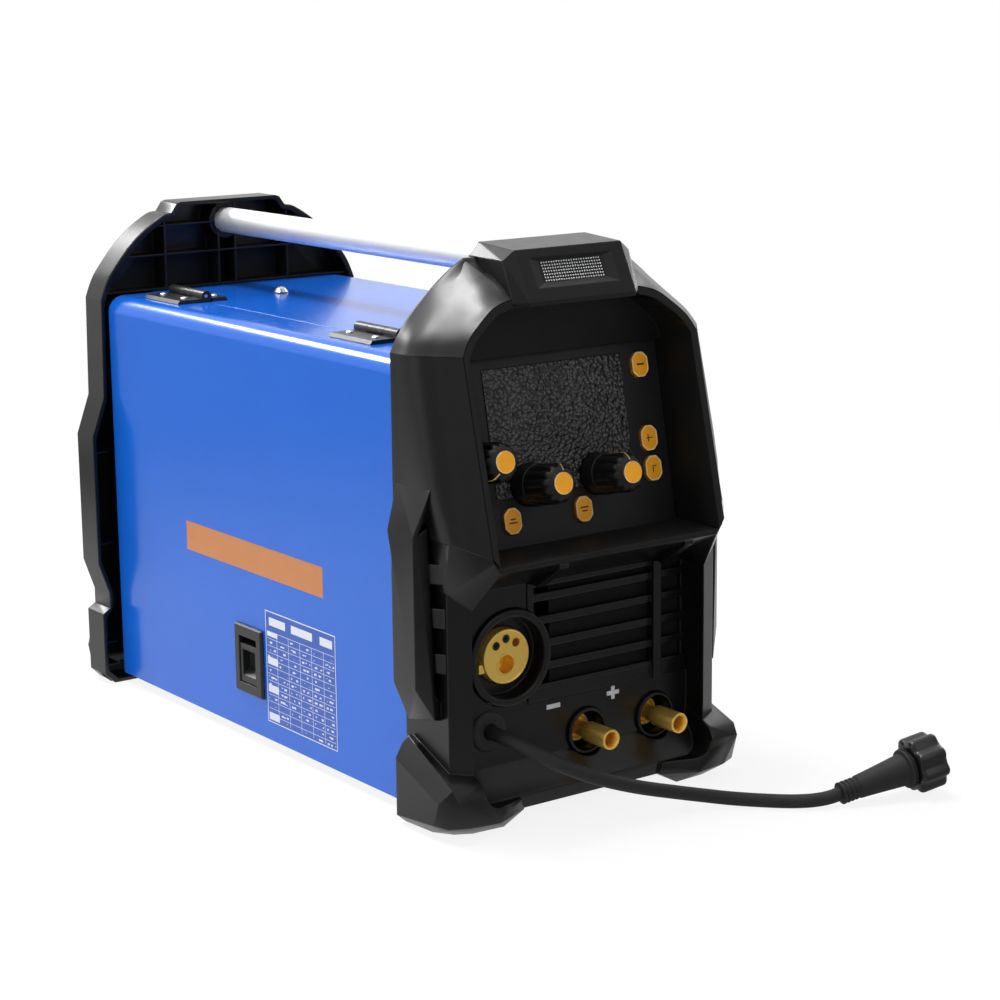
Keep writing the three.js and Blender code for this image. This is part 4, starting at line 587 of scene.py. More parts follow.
zinc = Finish("zinc_coated_sheet", Metallic=1.0)
spangle = zinc.cells(120, output=1)
zinc_tone = zinc.node("ShaderNodeRGBToBW", {}, spangle)
zinc.set(Base_Color=zinc.mix(zinc_tone, (0.34, 0.355, 0.37), (0.46, 0.47, 0.49)),
         Roughness=0.32 + 0.22 * zinc_tone)
zinc.relief(zinc.grain(900, 3), 0.00002)
for part in ("base_plate", "divider_wall", "latch_keeper"):
    eased(part, 0.0003, zinc, 40)


def plates(name, outlines, place, thickness, finish, body, ease=0.0):
    """Flat plates, each cut to an outline in millimetres, laid on a plane and raised from it."""
    shell = bmesh.new()
    for outline in outlines:
        low = [shell.verts.new(place @ Vector((u / 1000, v / 1000, 0))) for u, v in outline]
        high = [shell.verts.new(place @ Vector((u / 1000, v / 1000, thickness / 1000)))
                for u, v in outline]
        shell.faces.new(low[::-1])
        shell.faces.new(high)
        for a, b, c, d in zip(low, low[1:] + low[:1], high[1:] + high[:1], high):
            shell.faces.new((a, b, c, d))
    bmesh.ops.recalc_face_normals(shell, faces=shell.faces)
    if ease:
        bmesh.ops.bevel(shell, geom=list(shell.edges), offset=ease / 1000, segments=2, affect="EDGES")
    return finished(name, shell, [finish], body, 30)


def oblong(u, v, width, height):
    """A rectangle's corners about its centre."""
    return [(u - width / 2, v - height / 2), (u + width / 2, v - height / 2),
            (u + width / 2, v + height / 2), (u - width / 2, v + height / 2)]


cover_screw = [(0, 0), (3.6, 0), (3.5, 0.6), (2.9, 1.2), (2.0, 1.6), (1.3, 1.7), (1.2, 0.9), (0, 0.9)]
rearward = (0, 1, 0)
cover_side_x = 110.0
rear_face_y = 412.0
cover_screw_places = [(cover_side_x, along, height, (1, 0, 0))
                      for along in (12.0, 372.0) for height in (40.0, 150.0, 260.0)]
cover_screw_places += [(side * 92.0, rear_face_y, height, rearward)
                       for side in (-1, 1) for height in (60.0, 286.0)]
for number, (x, y, z, way) in enumerate(cover_screw_places):
    spun(f"cover_screw_{number + 1}", cover_screw, local(x, y, z), way, zinc, None, 28,
         "machine")

door_axes = Matrix(((0, 0, -1), (-1, 0, 0), (0, 1, 0))).to_4x4()
on_door = Matrix.Translation(local(-cover_side_x, 0, 0)) @ door_axes
banner_vinyl = Finish("orange_banner_vinyl", Specular_IOR_Level=0.4)
banner_vinyl.mottled((0.46, 0.170, 0.050), (0.52, 0.195, 0.060), (60, 3), 0.3, 0.1, (400, 2))
banner = [(-84, 128.5), (-84, 150.5), (-274, 150.5), (-274, 128.5)]
plates("door_banner", [banner], on_door, 0.12, banner_vinyl, "door")

label_film = Finish("settings_label", Specular_IOR_Level=0.4)
_, label_y, label_z = label_film.along()
label_low, label_high = 21.5, 104.5
label_front, label_rear = 70.0, 163.0
column_pitch = 15.5
line_pitch = 5.2
label_v = (label_z - label_low / 1000) * 1000
label_u = (label_y + datum - label_front / 1000) * 1000
column_place = label_u % column_pitch
line_place = label_v % line_pitch
rules = (column_place < 0.45).larger(line_place < 0.35)
dashes = label_film.cells(230) < 0.42
dash_row = line_place.between(1.9, 3.4) * dashes * column_place.between(2.0, 13.0)
table = rules.larger(dash_row) * label_v.between(2.0, 68.0) * label_u.between(2.0, 91.0)
headings = label_u.between(4, 20).larger(label_u.between(30, 58)).larger(label_u.between(66, 88))
header = label_v.between(72.5, 78.5) * headings
edge = 1 - label_v.between(0.7, 82.3) * label_u.between(0.7, 92.3)
boxes = (label_v % (4 * line_pitch)).between(2.0, 7.5) * label_u.between(77.0, 91.0) * (label_v < 68.0)
white_print = table.larger(header).larger(edge).larger(boxes)
label_film.set(Base_Color=label_film.mix(white_print, (0.022, 0.085, 0.40), (0.62, 0.66, 0.72)),
               Roughness=0.30 + 0.12 * label_film.grain(500))
label = [(-label_front, label_low), (-label_front, label_high), (-label_rear, label_high),
         (-label_rear, label_low)]
plates("door_label", [label], on_door, 0.12, label_film, "door")


# ---- Carry tube ----------------------------------------------------------------------------------------
# A drawn aluminium tube with a satin anodised finish runs from bezel to bezel and is gripped in both.
# Below it a bright round-head screw stands on the roof.
anodised = Finish("satin_anodised_tube", Metallic=0.55)
drawn = anodised.grain(240, 3, 0.6, (1.0, 0.02, 1.0))
anodised.set(Base_Color=anodised.mix(drawn, (0.78, 0.785, 0.80), (0.86, 0.865, 0.88)),
             Roughness=0.36 + 0.12 * drawn)
spun("carry_tube_wall", [(8, 0), (9.7, 0), (10, 0.3), (10, 450.7), (9.7, 451), (8, 451), (8, 0)],
     local(0, -47, 358.7), rearward, anodised, "carry_tube", 72)

screw_steel = Finish("bright_screw_steel", Metallic=1.0)
screw_steel.mottled((0.55, 0.56, 0.58), (0.68, 0.69, 0.71), (500, 2), 0.22, 0.1, (900, 2))
screw_dome = [(0, 4.6), (1.4, 4.5), (2.8, 4.1), (4.0, 3.3), (4.9, 2.2), (5.6, 1.2), (6, 0.8), (6, 0),
              (0, 0)]
spun("roof_screw_head", screw_dome[::-1], local(4, 318, 307.8), (0, 0, 1), screw_steel,
     "roof_screw", 48)


# ---- Hinges --------------------------------------------------------------------------------------------
# Two die-cast hinges, painted black, sit over the seam of the roof. Each leaf is held by two bright
# screws.
cast_black = Finish("black_hinge_paint", Specular_IOR_Level=0.5)
cast_black.mottled((0.008, 0.008, 0.009), (0.015, 0.015, 0.016), (120, 2), 0.3, 0.12, (500, 2))
cast_black.relief(cast_black.grain(1500), 0.00003, 0.6)
seam_x = -68.0
hinge_length = 52.0
leaf_top_z = 310.4
pin_z = 312.0
leaf_screw = [(0, 0), (2.7, 0), (2.6, 0.7), (2.0, 1.3), (1.0, 1.6), (0, 1.65)]
for place, start in (("front", 44.0), ("rear", 306.0)):
    for leaf, reach in (("door_leaf", -14.0), ("fixed_leaf", 11.5)):
        eased(f"{place}_hinge_{leaf}", 0.0005, cast_black, 30)
        for number, along in enumerate((10.0, hinge_length - 10.0)):
            spun(f"{place}_{leaf}_screw_{number + 1}", leaf_screw,
                 local(seam_x + reach, start + along, leaf_top_z), (0, 0, 1), screw_steel,
                 None, 28, body_of_part[f"{place}_hinge_{leaf}"])
    pin = [(0, 0), (1.2, 0.05), (1.7, 0.4), (1.8, 0.9), (1.8, hinge_length - 1.9),
           (1.7, hinge_length - 1.4), (1.2, hinge_length - 1.05), (0, hinge_length - 1)]
    spun(f"{place}_hinge_pin_rod", pin, local(seam_x, start + 0.5, pin_z), rearward, screw_steel,
         f"{place}_hinge_pin", 32)


# ---- Door latch ----------------------------------------------------------------------------------------
# A charcoal moulded frame snaps into the door, and a sliding finger pull with a deep pocket moves in it.
# The pull's tooth reaches in behind the door, towards the keeper on the base plate.
charcoal = Finish("charcoal_latch_plastic", Specular_IOR_Level=0.45)
charcoal_edge = charcoal.node("ShaderNodeBevel", {"samples": 8}, 0.001)
charcoal.mottled((0.007, 0.0075, 0.0085), (0.012, 0.0125, 0.014), (80, 2), 0.36, 0.12, (400, 2))
charcoal.relief(charcoal.grain(2200), 0.00001, 0.5, charcoal_edge)
eased("latch_frame", 0.0006, charcoal, 25, 3)
eased("latch_slider", 0.0005, charcoal, 25)


# ---- Control panel -------------------------------------------------------------------------------------
# A sloping moulded fascia in the hood's mouth carries the display, three dials and five push buttons. The
# window is a thin textured film over the display, and the board behind the fascia holds the dials' and
# buttons' parts.
panel_lean = 0.196
panel_top_y = -31.0
panel_top_z = 303.5
panel_out = Vector((0, -0.98133, 0.19234))
panel_up = Vector((0, 0.19234, 0.98133))


def on_panel(x, z, lift=0.0):
    """The plane of the fascia at a place, with X to the right, Y up the panel and Z out of it."""
    y = panel_top_y - (panel_top_z - z) * panel_lean
    axes = Matrix((Vector((1, 0, 0)), panel_up, panel_out)).transposed().to_4x4()
    return Matrix.Translation(local(x, y, z) + panel_out * lift / 1000) @ axes


fascia_plastic = Finish("fascia_plastic", Specular_IOR_Level=0.35)
fascia_plastic.mottled((0.0070, 0.0070, 0.0075), (0.0115, 0.0115, 0.0120), (50, 3), 0.38, 0.12, (300, 3))
fascia_plastic.relief(fascia_plastic.grain(2400, 2), 0.000008, 0.5)
eased("control_fascia", 0.0001, fascia_plastic, 30, 1)

gasket = [oblong(0, -124.1, 172, 2.4)]
plates("fascia_gasket", gasket, on_panel(0, panel_top_z), 0.5, fascia_plastic,
       "machine")

film = Finish("pebbled_window_film", Specular_IOR_Level=0.6)
film_place = film.node("ShaderNodeVectorMath", {"operation": "MULTIPLY"}, film.place(), (0.85, 0.35, 1.0))
film_warp = film.node("ShaderNodeTexNoise", {}, output=1, Vector=film_place, Scale=95.0, Detail=2.0)
film_bend = film.node("ShaderNodeVectorMath", {"operation": "MULTIPLY"}, film_warp, (0.003, 0.003, 0.003))
film_bent = film.node("ShaderNodeVectorMath", {"operation": "ADD"}, film_place, film_bend)
pebble = film.node("ShaderNodeTexVoronoi", {"feature": "SMOOTH_F1"}, Vector=film_bent, Scale=450.0,
                   Smoothness=0.3)
film_cloud = film.grain(38, 3)
crest = 1 - pebble * 1.25
# The pebbles' crests are painted lighter than their hollows as painted glints, under a random cloud of real
# tone. The relief below gives the real bumps.
film_cloud_and_painted_glints = film.mix(crest * crest * (0.2 + film_cloud), (0.002, 0.002, 0.002), (0.18, 0.18, 0.185))
film.set(Base_Color=film_cloud_and_painted_glints, Roughness=0.20 + 0.25 * film_cloud)
film.relief(crest, 0.0012, 0.8)
eased("display_window", 0.0001, film, 40)

circuit = Finish("lacquered_circuit_board", Specular_IOR_Level=0.5)
tracks = circuit.cells(210, "DISTANCE_TO_EDGE") < 0.05
circuit.set(Base_Color=circuit.mix(tracks, (0.010, 0.085, 0.035), (0.045, 0.20, 0.08)),
            Roughness=0.35 + 0.1 * circuit.grain(300))
eased("control_board", 0.0002, circuit, 40)

dial_black = Finish("gloss_black_dial", Specular_IOR_Level=0.36)
dial_black.mottled((0.0045, 0.0045, 0.005), (0.008, 0.008, 0.0085), (90, 2), 0.33, 0.12, (400, 2))
orange = Finish("moulded_orange", Specular_IOR_Level=0.35)
orange.mottled((0.84, 0.34, 0.006), (0.92, 0.40, 0.014), (120, 3), 0.42, 0.12, (600, 2))
orange.relief(orange.grain(2500), 0.00002, 0.5)
# The pale orange is partly print, on the dials' pointers, and partly a painted highlight, on the buttons'
# rounded edges and the bead round each dial's disc.
pale_print_and_highlight = Finish("pale_print_and_painted_edge_highlight", Specular_IOR_Level=0.4)
pale_print_and_highlight.mottled((0.80, 0.56, 0.24), (0.88, 0.64, 0.30), (150, 2), 0.38, 0.1, (500, 2))
# The dark orange is painted shade on the buttons' skirts, which are the same orange plastic as their tops.
orange_painted_shade = Finish("orange_skirt_painted_shade", Roughness=0.5)
skirt_painted_shade_tone = orange_painted_shade.mix(orange_painted_shade.grain(200), (0.30, 0.11, 0.004), (0.38, 0.14, 0.006))
orange_painted_shade.set(Base_Color=skirt_painted_shade_tone)

knob_places = {
    # across, height, and where the pointer stands in degrees
    "wire_speed_knob": (-75, 238, 232),
    "voltage_knob": (-31.4, 219.2, 82),
    "inductance_knob": (26, 219.2, 96),
}
knob_profile = [
    (0, -9), (2.7, -9), (3, -8.7), (3, 0.6), (13.8, 0.6), (14.2, 1.0), (14.2, 12.5), (13.9, 13.0),
    (13.5, 13.2), (13.5, 20), (13.5, 27), (13.5, 31.5), (13.35, 33), (12.9, 34.6), (12.1, 36),
    (10.9, 37.3), (9.5, 38.3), (8.3, 38.9), (7.7, 39.1), (0, 39.1),
]
knob_lobes = 12
knob_groove = 1.7
knob_disc = [(0, 39.0), (6.9, 39.0), (6.9, 40.0), (6.6, 40.4), (5.8, 40.55), (0, 40.6)]
knob_disc_edge = [(6.8, 39.0), (7.25, 39.0), (7.3, 39.6), (7.2, 39.9), (7.0, 40.05), (6.8, 40.0),
                  (6.8, 39.0)]


def fluted(start):
    """Flutes round a knob's grip, with a ridge at the start angle. They fade out at both of its ends."""
    def flute(radius, reach, angle):
        deep = knob_groove * min(max((reach - 13.1) / 1.5, 0), 1) * min(max((38.2 - reach) / 5.0, 0), 1)
        wave = 0.5 - 0.5 * math.cos(knob_lobes * (angle - start))
        return radius - deep * wave ** 2
    return flute


for knob, (x, z, pointer) in knob_places.items():
    pointer = math.radians(pointer)
    spot = on_panel(x, z)
    turn = Vector((0, 0, 1)).rotation_difference(panel_out).to_matrix()
    pointer_way = spot.to_3x3() @ Vector((math.cos(pointer), math.sin(pointer), 0))
    start = turn.inverted() @ pointer_way
    start = math.atan2(start.y, start.x)
    spun(knob + "_grip", knob_profile, spot.translation, panel_out, dial_black, knob, 168,
         crease=38, lobe=fluted(start))
    body = body_of_part[knob]
    spun(knob + "_disc", knob_disc, spot.translation, panel_out, orange, None, 56, body)
    # The bead round the disc is painted pale: a painted highlight.
    spun(knob + "_disc_edge", knob_disc_edge, spot.translation, panel_out, pale_print_and_highlight, None,
         56, body)
    line = bmesh.new()
    side_way = panel_out.cross(pointer_way)
    rows = []
    for radius, reach in [(13.5, 17.0), *knob_profile[10:-2]]:
        middle = spot.translation + (pointer_way * (radius + 0.22) + panel_out * (reach + 0.16)) / 1000
        rows.append([line.verts.new(middle + side_way * half / 1000) for half in (-0.55, 0.55)])
    for (a, b), (c, d) in zip(rows, rows[1:]):
        line.faces.new((a, b, d, c))
    bmesh.ops.solidify(line, geom=list(line.faces), thickness=0.0004)
    finished(knob + "_pointer", line, [pale_print_and_highlight], body)


def rounded(outline, ease):
    """An outline whose corners are eased by three points each."""
    eased_outline = []
    for last, corner, after in zip(outline[-1:] + outline[:-1], outline, outline[1:] + outline[:1]):
        corner = Vector(corner)
        into = corner + (Vector(last) - corner).normalized() * ease
        out_of = corner + (Vector(after) - corner).normalized() * ease
        eased_outline += [into, (into + out_of + 2 * corner) / 4, out_of]
    return eased_outline


button_half = (7.0, 8.75)
button_corner = 4.0
button_corner_ease = 1.1
button_steps = [
    # drawn in by, height above the fascia, and what the face above is: 0 the edge, 1 the top, 2 the skirt
    (0, -4, 2), (0, 1.5, 2), (0.15, 2.1, 0), (0.4, 2.5, 0), (0.65, 2.6, 0), (0.95, 2.55, 0),
    (1.15, 2.3, 1), (1.6, 2.35, 1), (3.4, 2.42, 1),
]
button_places = {
    "mode_button": (73, 287.2), "inch_button": (73.3, 237.7), "purge_button": (74, 217.3),
    "wire_size_button": (-48.3, 198), "material_button": (10.9, 198.1),
}
button_marks = {
    "mode_button": [oblong(0, 0, 6.0, 1.3)],
    "inch_button": [oblong(0, 0, 5.2, 0.8), oblong(-1.2, 0, 0.8, 5.2)],
    "purge_button": [oblong(0.6, 1.4, 3.4, 0.8), oblong(-0.8, -0.6, 0.8, 4.4)],
    "wire_size_button": [oblong(0, 1.2, 4.4, 1.0), oblong(0, -1.2, 6.6, 1.0)],
    "material_button": [oblong(0, 1.2, 6.6, 1.0), oblong(0, -1.2, 4.4, 1.0)],
}
mark_ink = Finish("dark_brown_ink", Roughness=0.5)
mark_ink.set(Base_Color=mark_ink.mix(mark_ink.grain(400), (0.045, 0.022, 0.006), (0.07, 0.035, 0.01)))
for button, (x, z) in button_places.items():
    spot = on_panel(x, z)
    w, h = button_half
    shell = bmesh.new()
    rings = []
    for drawn_in, height, _ in button_steps:
        u, v, c = w - drawn_in, h - drawn_in, button_corner - 0.5 * drawn_in
        octagon = [(u, -v + c), (u, v - c), (u - c, v), (-u + c, v),
                   (-u, v - c), (-u, -v + c), (-u + c, -v), (u - c, -v)]
        corners = [Vector((p.x, p.y, height)) / 1000 for p in rounded(octagon, button_corner_ease)]
        rings.append([shell.verts.new(spot @ corner) for corner in corners])
    shell.faces.new(rings[0][::-1])
    for (ring, after), (_, _, inside) in zip(zip(rings, rings[1:]), button_steps):
        for a, b, c, d in zip(ring, ring[1:] + ring[:1], after[1:] + after[:1], after):
            shell.faces.new((a, b, c, d)).material_index = inside
    shell.faces.new(rings[-1]).material_index = 1
    # Each cap's rounded edge is painted pale as a painted highlight and its skirt dark as painted shade,
    # round a plain orange top.
    cap = finished(button + "_cap", shell, [pale_print_and_highlight, orange, orange_painted_shade],
                   body_of_part[button], 50)
    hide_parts(button)
    plates(button + "_mark", button_marks[button], on_panel(x, z, 2.40), 0.12, mark_ink,
           body_of_part[button])


# ---- Front grille --------------------------------------------------------------------------------------
# One moulded grille of five bars and two uprights is set into the lower face, with a fine dark screen
# behind it.
eased("front_grille", 0.0006, moulded, 25)
mesh_black = Finish("fine_black_screen", Specular_IOR_Level=0.2)
screen_x, _, screen_z = mesh_black.along()
weave = ((screen_x * 900) % 1.0).larger((screen_z * 900) % 1.0) > 0.82
mesh_black.set(Base_Color=mesh_black.mix(weave, (0.002, 0.002, 0.002), (0.006, 0.006, 0.006)),
               Roughness=0.7 + 0.1 * mesh_black.grain(300))
eased("grille_screen", 0.0002, mesh_black, 40)


# ---- Torch socket --------------------------------------------------------------------------------------
# The torch screws onto a turned brass block that carries wire, gas and current, inside a deep moulded
# ring.
torch_x, torch_z = -55.0, 108.0
ring_front_y = -60.0
ring_profile = [
    (19, 16), (33, 16), (33, 1.6), (32.8, 0.7), (32.2, 0.2), (31.3, 0), (29.0, 0), (28.2, 0.25),
    (27.7, 0.8), (27.5, 1.8), (27.5, 12.2), (26.9, 13), (19, 13), (19, 16),
]
spun("torch_ring_moulding", ring_profile, local(torch_x, ring_front_y, torch_z), rearward, moulded,
     "torch_socket_ring", 112)
turned_brass = Finish("turned_brass", Metallic=0.88)
lathe_marks = turned_brass.grain(900, 2, 0.5, (1.0, 0.15, 1.0))
turned_brass.set(Base_Color=turned_brass.mix(lathe_marks, (1.0, 0.62, 0.11), (1.0, 0.72, 0.20)),
                 Roughness=0.32 + 0.10 * turned_brass.grain(300, 3))
turned_brass.relief(lathe_marks, 0.000002, 0.5)
eased("torch_socket_brass", 0.0003, turned_brass, 30)
torch_face = local(torch_x, -53.5, torch_z)
thread = [(18.75 - 0.4 * (step % 2), 0.9 + 0.55 * step) for step in range(14)]
block_rim = [(17.0, 0.4), (17.2, -0.25), (17.7, -0.5), (18.3, -0.4), (18.7, 0.3), *thread, (17.0, 8.5),
             (17.0, 0.4)]
spun("torch_block_rim", block_rim, torch_face, rearward, turned_brass, None, 96, "machine", 24)
pin_edge = [(2.95, 0.8), (2.95, -0.05), (3.1, -0.25), (3.5, -0.2), (3.75, 0.1), (3.75, 0.8), (2.95, 0.8)]
pin_insert = [(0, 1.6), (1.2, 1.6), (1.2, 0.5), (2.5, 0.3), (2.9, 0.6), (2.9, 4), (0, 4), (0, 1.6)]
pin_circle = 10.5
pin_circle_rise = 1.5
for number, degrees in enumerate((-50, 0, 50)):
    angle = math.radians(degrees)
    pin_rise = pin_circle_rise + pin_circle * math.cos(angle)
    spot = torch_face + Vector((pin_circle * math.sin(angle), 0, pin_rise)) / 1000
    spun(f"torch_pin_edge_{number + 1}", pin_edge, spot, rearward, turned_brass, None, 36,
         "machine")
    if number < 2:
        spun(f"torch_pin_insert_{number + 1}", pin_insert, spot, rearward, dial_black,
             None, 32, "machine")
wire_edge = [(6.35, 2.5), (6.35, 0.8), (7.1, -0.2), (7.7, -0.25), (8.0, 0.1), (8.0, 2.5), (6.35, 2.5)]
wire_hole_drop = 0.0055
spun("torch_wire_hole_edge", wire_edge, torch_face - Vector((0, 0, wire_hole_drop)), rearward,
     turned_brass, None, 56, "machine")


# ---- Output sockets ------------------------------------------------------------------------------------
# A turned brass tube stands in each moulded ring: the minus socket on the left, the plus socket on the
# right.
socket_z = 45.7
socket_ring = [
    (7.3, 26), (16.2, 26), (16.2, 1.3), (16.0, 0.5), (15.4, 0), (14.3, 0), (13.8, 0.4), (13.6, 1.2),
    (13.6, 22), (7.3, 22), (7.3, 26),
]
socket_tube = [
    (0, 20), (4, 18), (4, 6), (5.3, 0.5), (5.6, 0.1), (6.3, 0), (6.8, 0.2), (7.1, 0.7), (7.1, 24.1),
    (6.8, 24.5), (5.2, 24.5), (5.2, 41), (10.1, 41), (10.5, 41.4), (10.5, 45), (7.1, 45), (7.1, 59),
    (0, 59),
]
collar = [(7.5, 21.7), (7.5, 13.2), (7.9, 12.8), (9.6, 12.8), (10.0, 13.2), (10.0, 21.7), (7.5, 21.7)]
mark_white = Finish("pale_grey_mark", Roughness=0.45)
mark_white.set(Base_Color=mark_white.mix(mark_white.grain(200), (0.46, 0.47, 0.48), (0.58, 0.59, 0.60)))
face_y = -57.0
on_face = Matrix.Translation((0, face_y / 1000 - datum, 0)) @ Matrix.Rotation(math.radians(90), 4, "X")
sign_bars = {"minus": [oblong(-19, 68, 11.5, 3.2)],
             "plus": [oblong(32, 68, 10.6, 3.0), oblong(32, 71.0, 3.0, 3.2), oblong(32, 65.0, 3.0, 3.2)]}
for sign, x in (("minus", 8.9), ("plus", 68.5)):
    spun(f"{sign}_socket_moulding", socket_ring, local(x, ring_front_y, socket_z), rearward, moulded,
         f"{sign}_socket_ring", 72)
    spun(f"{sign}_socket_brass", socket_tube, local(x, -85, socket_z), rearward, turned_brass,
         f"{sign}_socket_tube", 64)
    spun(f"{sign}_socket_collar", collar, local(x, ring_front_y, socket_z), rearward, turned_brass,
         None, 56, "machine")
    plates(f"{sign}_mark", sign_bars[sign], on_face, 0.5, mark_white, "machine", 0.12)
grommet = [
    (5.05, -1.6), (5.5, -2.1), (7.5, -2.5), (10.4, -2.4), (12.6, -1.7), (13.7, -0.9), (14, -0.3),
    (11.2, -0.3), (11.2, 6), (5.05, 6), (5.05, -1.6),
]
spun("lead_grommet", grommet, local(-72.4, -57, 60.5), rearward, rubber, "cord_grommet",
     56)


# ---- Fan, switch and rear fittings ---------------------------------------------------------------------
# The cooling fan blows through the rear bezel's round grille. Above it is the rocker switch, and below
# are the mains cable's gland and the brass inlet for shielding gas.
pad_print = Finish("pale_pad_print", Roughness=0.5)
pad_print.set(Base_Color=pad_print.mix(pad_print.grain(300), (0.45, 0.46, 0.47), (0.56, 0.57, 0.58)))
grey = Finish("grey_glass_filled_plastic", Specular_IOR_Level=0.4)
grey.mottled((0.070, 0.075, 0.082), (0.10, 0.107, 0.116), (90, 3), 0.45, 0.15, (500, 2))
grey.relief(grey.grain(2000), 0.00003, 0.6)
eased("fan_frame", 0.0004, grey, 30)
eased("fan_rotor", 0.0003, grey, 30)
eased("switch_housing", 0.0006, fascia_plastic, 30, 3)
eased("switch_rocker", 0.0007, dial_black, 20, 3)
rear_out = Matrix(((-1, 0, 0), (0, 0, 1), (0, 1, 0))).to_4x4()
switch_face = Matrix.Translation(local(52, rear_face_y, 262)) @ rear_out
mark_reach = 21.0
off_radius = 2.4
off_turns = [math.tau * step / 20 for step in range(20)]
on_mark = oblong(-mark_reach, 0, 1.2, 5.2)
off_mark = [(off_radius * math.cos(turn) + mark_reach, off_radius * math.sin(turn)) for turn in off_turns]
plates("switch_marks", [on_mark, off_mark], switch_face, 0.15, pad_print, "machine")


def grooved(count, depth, low, high, inside):
    """Grooves round a turned piece, between two distances along it and outside a radius."""
    def groove(radius, reach, angle):
        deep = depth if low < reach < high and radius > inside else 0
        return radius - deep * (0.5 - 0.5 * math.cos(count * angle))
    return groove


gland = [
    (6, -8), (9.8, -8), (10, -7.6), (10, 3.3), (13.6, 3.3), (14, 3.8), (14, 8.4), (13.6, 9), (12.6, 9.4),
    (11.4, 12.4), (11, 13.2), (11, 14.6), (10.3, 15), (10.3, 15.8), (10.6, 16.2), (10.6, 17.4),
    (9.4, 19.4), (8.4, 21.6), (7.6, 22), (6.4, 22), (6, 21.6), (6, -8),
]
spun("mains_gland_rubber", gland, local(52, 409, 78), rearward, rubber, "mains_gland",
     56, lobe=grooved(12, 0.5, 3.9, 8.3, 13))
barbs = [(7 - 0.9 * (step % 2), 12.6 + 0.9 * step) for step in range(6)]
inlet = [(2.5, -10), (7, -10), (7, 3.3), (9.6, 3.3), (10, 3.7), (10, 8.6), (9.6, 9), (6, 9), (6, 12),
         *barbs, (5, 18.2), (4.6, 19), (2.8, 19), (2.5, 18.7), (2.5, -10)]
spun("gas_inlet_barb", inlet, local(-62, 409, 70), rearward, turned_brass, "gas_inlet", 48)


# ---- Wire spool ----------------------------------------------------------------------------------------
# A black moulded spool of copper-coated wire turns on a plastic hub that is bolted to the dividing wall,
# and a large plastic nut keeps it there.
spool_line = Vector((-1, 0, 0))
spool_y, spool_z = 268.0, 150.0
spool_shell = [
    (25.7, 0.4), (26.1, 0), (99.4, 0), (100, 0.6), (100, 2.4), (99.4, 3), (46, 3), (46, 52), (99.4, 52),
    (100, 52.6), (100, 54.4), (99.4, 55), (26.1, 55), (25.7, 54.6), (25.7, 0.4),
]
spun("spool_shell", spool_shell, local(-16, spool_y, spool_z), spool_line, dial_black,
     "wire_spool", 112)
copper = Finish("copper_coated_wire", Metallic=1.0)
copper.mottled((0.60, 0.24, 0.10), (0.75, 0.34, 0.16), (500, 3), 0.26, 0.12, (900, 2))
turns_of_wire = [(86 - 0.45 * (step % 2), 0.2 + 0.6 * step) for step in range(81)]
winding = [(46.3, 0), *turns_of_wire, (46.3, 48.4), (46.3, 0)]
spun("wire_winding", winding, local(-19.3, spool_y, spool_z), spool_line, copper,
     "wound_wire", 96, crease=70)
hub = [
    (0, 0), (35.5, 0), (36, 0.5), (36, 3.5), (35.5, 4), (25, 4), (25, 68.5), (24.2, 70.3), (23, 71),
    (0, 71),
]
spun("hub_turning", hub, local(-2.3, spool_y, spool_z), spool_line, grey, "spool_hub", 64)
nut = [
    (0, 0), (31.5, 0), (32, 0.5), (32, 3.3), (31, 4.2), (16.4, 6), (15.6, 7), (13.4, 17), (12.6, 18),
    (0, 18),
]
spun("nut_moulding", nut, local(-74, spool_y, spool_z), spool_line, grey, "spool_nut", 72,
     lobe=grooved(8, 0.9, 6.5, 99, 5))


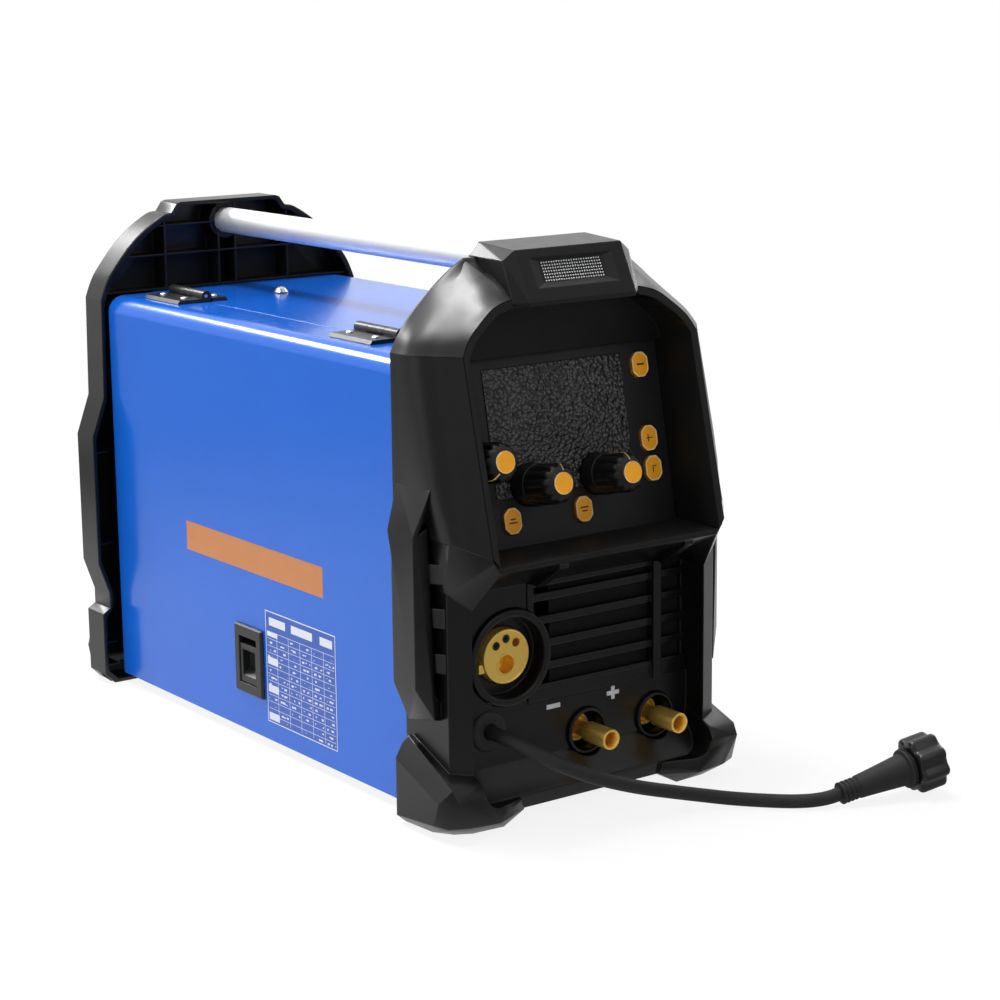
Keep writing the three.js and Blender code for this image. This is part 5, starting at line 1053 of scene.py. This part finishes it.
# ---- Feed unit -----------------------------------------------------------------------------------------
# The cast plate carries the gearbox, the grooved drive roll and the pressure arm with its roll. A knob
# with a spring under it sets the pressure.
cast = Finish("sand_cast_aluminium", Metallic=1.0)
cast.mottled((0.42, 0.43, 0.45), (0.54, 0.55, 0.57), (200, 4), 0.42, 0.18, (700, 3))
cast.relief(cast.grain(1100, 4, 0.6), 0.00006, 0.7)
eased("feed_plate", 0.0007, cast, 30)
eased("pressure_arm", 0.0008, cast, 30)
eased("gear_motor", 0.0008, zinc, 30)
roll_steel = Finish("ground_roll_steel", Metallic=1.0)
roll_steel.mottled((0.42, 0.42, 0.43), (0.54, 0.54, 0.55), (600, 2), 0.24, 0.12, (900, 2))
eased("drive_roll", 0.0004, roll_steel, 30)
spun("press_roll_turning", [(3.6, 0), (13.6, 0), (14, 0.4), (14, 9.6), (13.6, 10), (3.6, 10), (3.6, 0)],
     local(-50, 92, 122.4), (-1, 0, 0), roll_steel, "press_roll", 56)
tension_grip = [(0, -12), (3, -12), (3, 0.3), (8.6, 0.3), (9, 0.8), (9, 17), (8.4, 19.4), (7, 20.7),
                (0, 21)]
spun("tension_knob_grip", tension_grip, local(-48, 59, 145.2), (0, 0, 1), dial_black,
     "tension_knob", 80, lobe=grooved(16, 0.7, 1.5, 18.5, 5))


# ---- Power electronics ---------------------------------------------------------------------------------
# Behind the dividing wall stand the finned heat sink, the inverter board with its capacitors and coils,
# and the output choke with its laminated core.
extruded = Finish("extruded_aluminium", Metallic=1.0)
extrusion_lines = extruded.grain(300, 3, 0.5, (1.0, 0.05, 1.0))
extruded.set(Base_Color=extruded.mix(extrusion_lines, (0.46, 0.47, 0.49), (0.58, 0.59, 0.61)),
             Roughness=0.34 + 0.15 * extruded.grain(500))
eased("heat_sink", 0.0003, extruded, 40)
populated = Finish("populated_power_board", Specular_IOR_Level=0.5)
_, _, board_height = populated.along()
board_top_z = 0.0262
sleeve = board_height > board_top_z
sleeve_tone = populated.mix(populated.cells(40) > 0.5, (0.012, 0.014, 0.03), (0.02, 0.02, 0.022))
populated.set(Base_Color=populated.mix(sleeve, (0.010, 0.085, 0.035), sleeve_tone),
              Roughness=0.34 + 0.12 * populated.grain(300))
eased("inverter_board", 0.0005, populated, 30)
laminated = Finish("laminated_core", Specular_IOR_Level=0.4)
_, _, core_z = laminated.along()
laminations = (core_z * 1400) % 1.0
laminated.set(Base_Color=laminated.mix(laminations > 0.6, (0.018, 0.018, 0.020), (0.05, 0.045, 0.04)),
              Roughness=0.45 + 0.15 * laminated.grain(300))
eased("output_choke", 0.0006, laminated, 30)
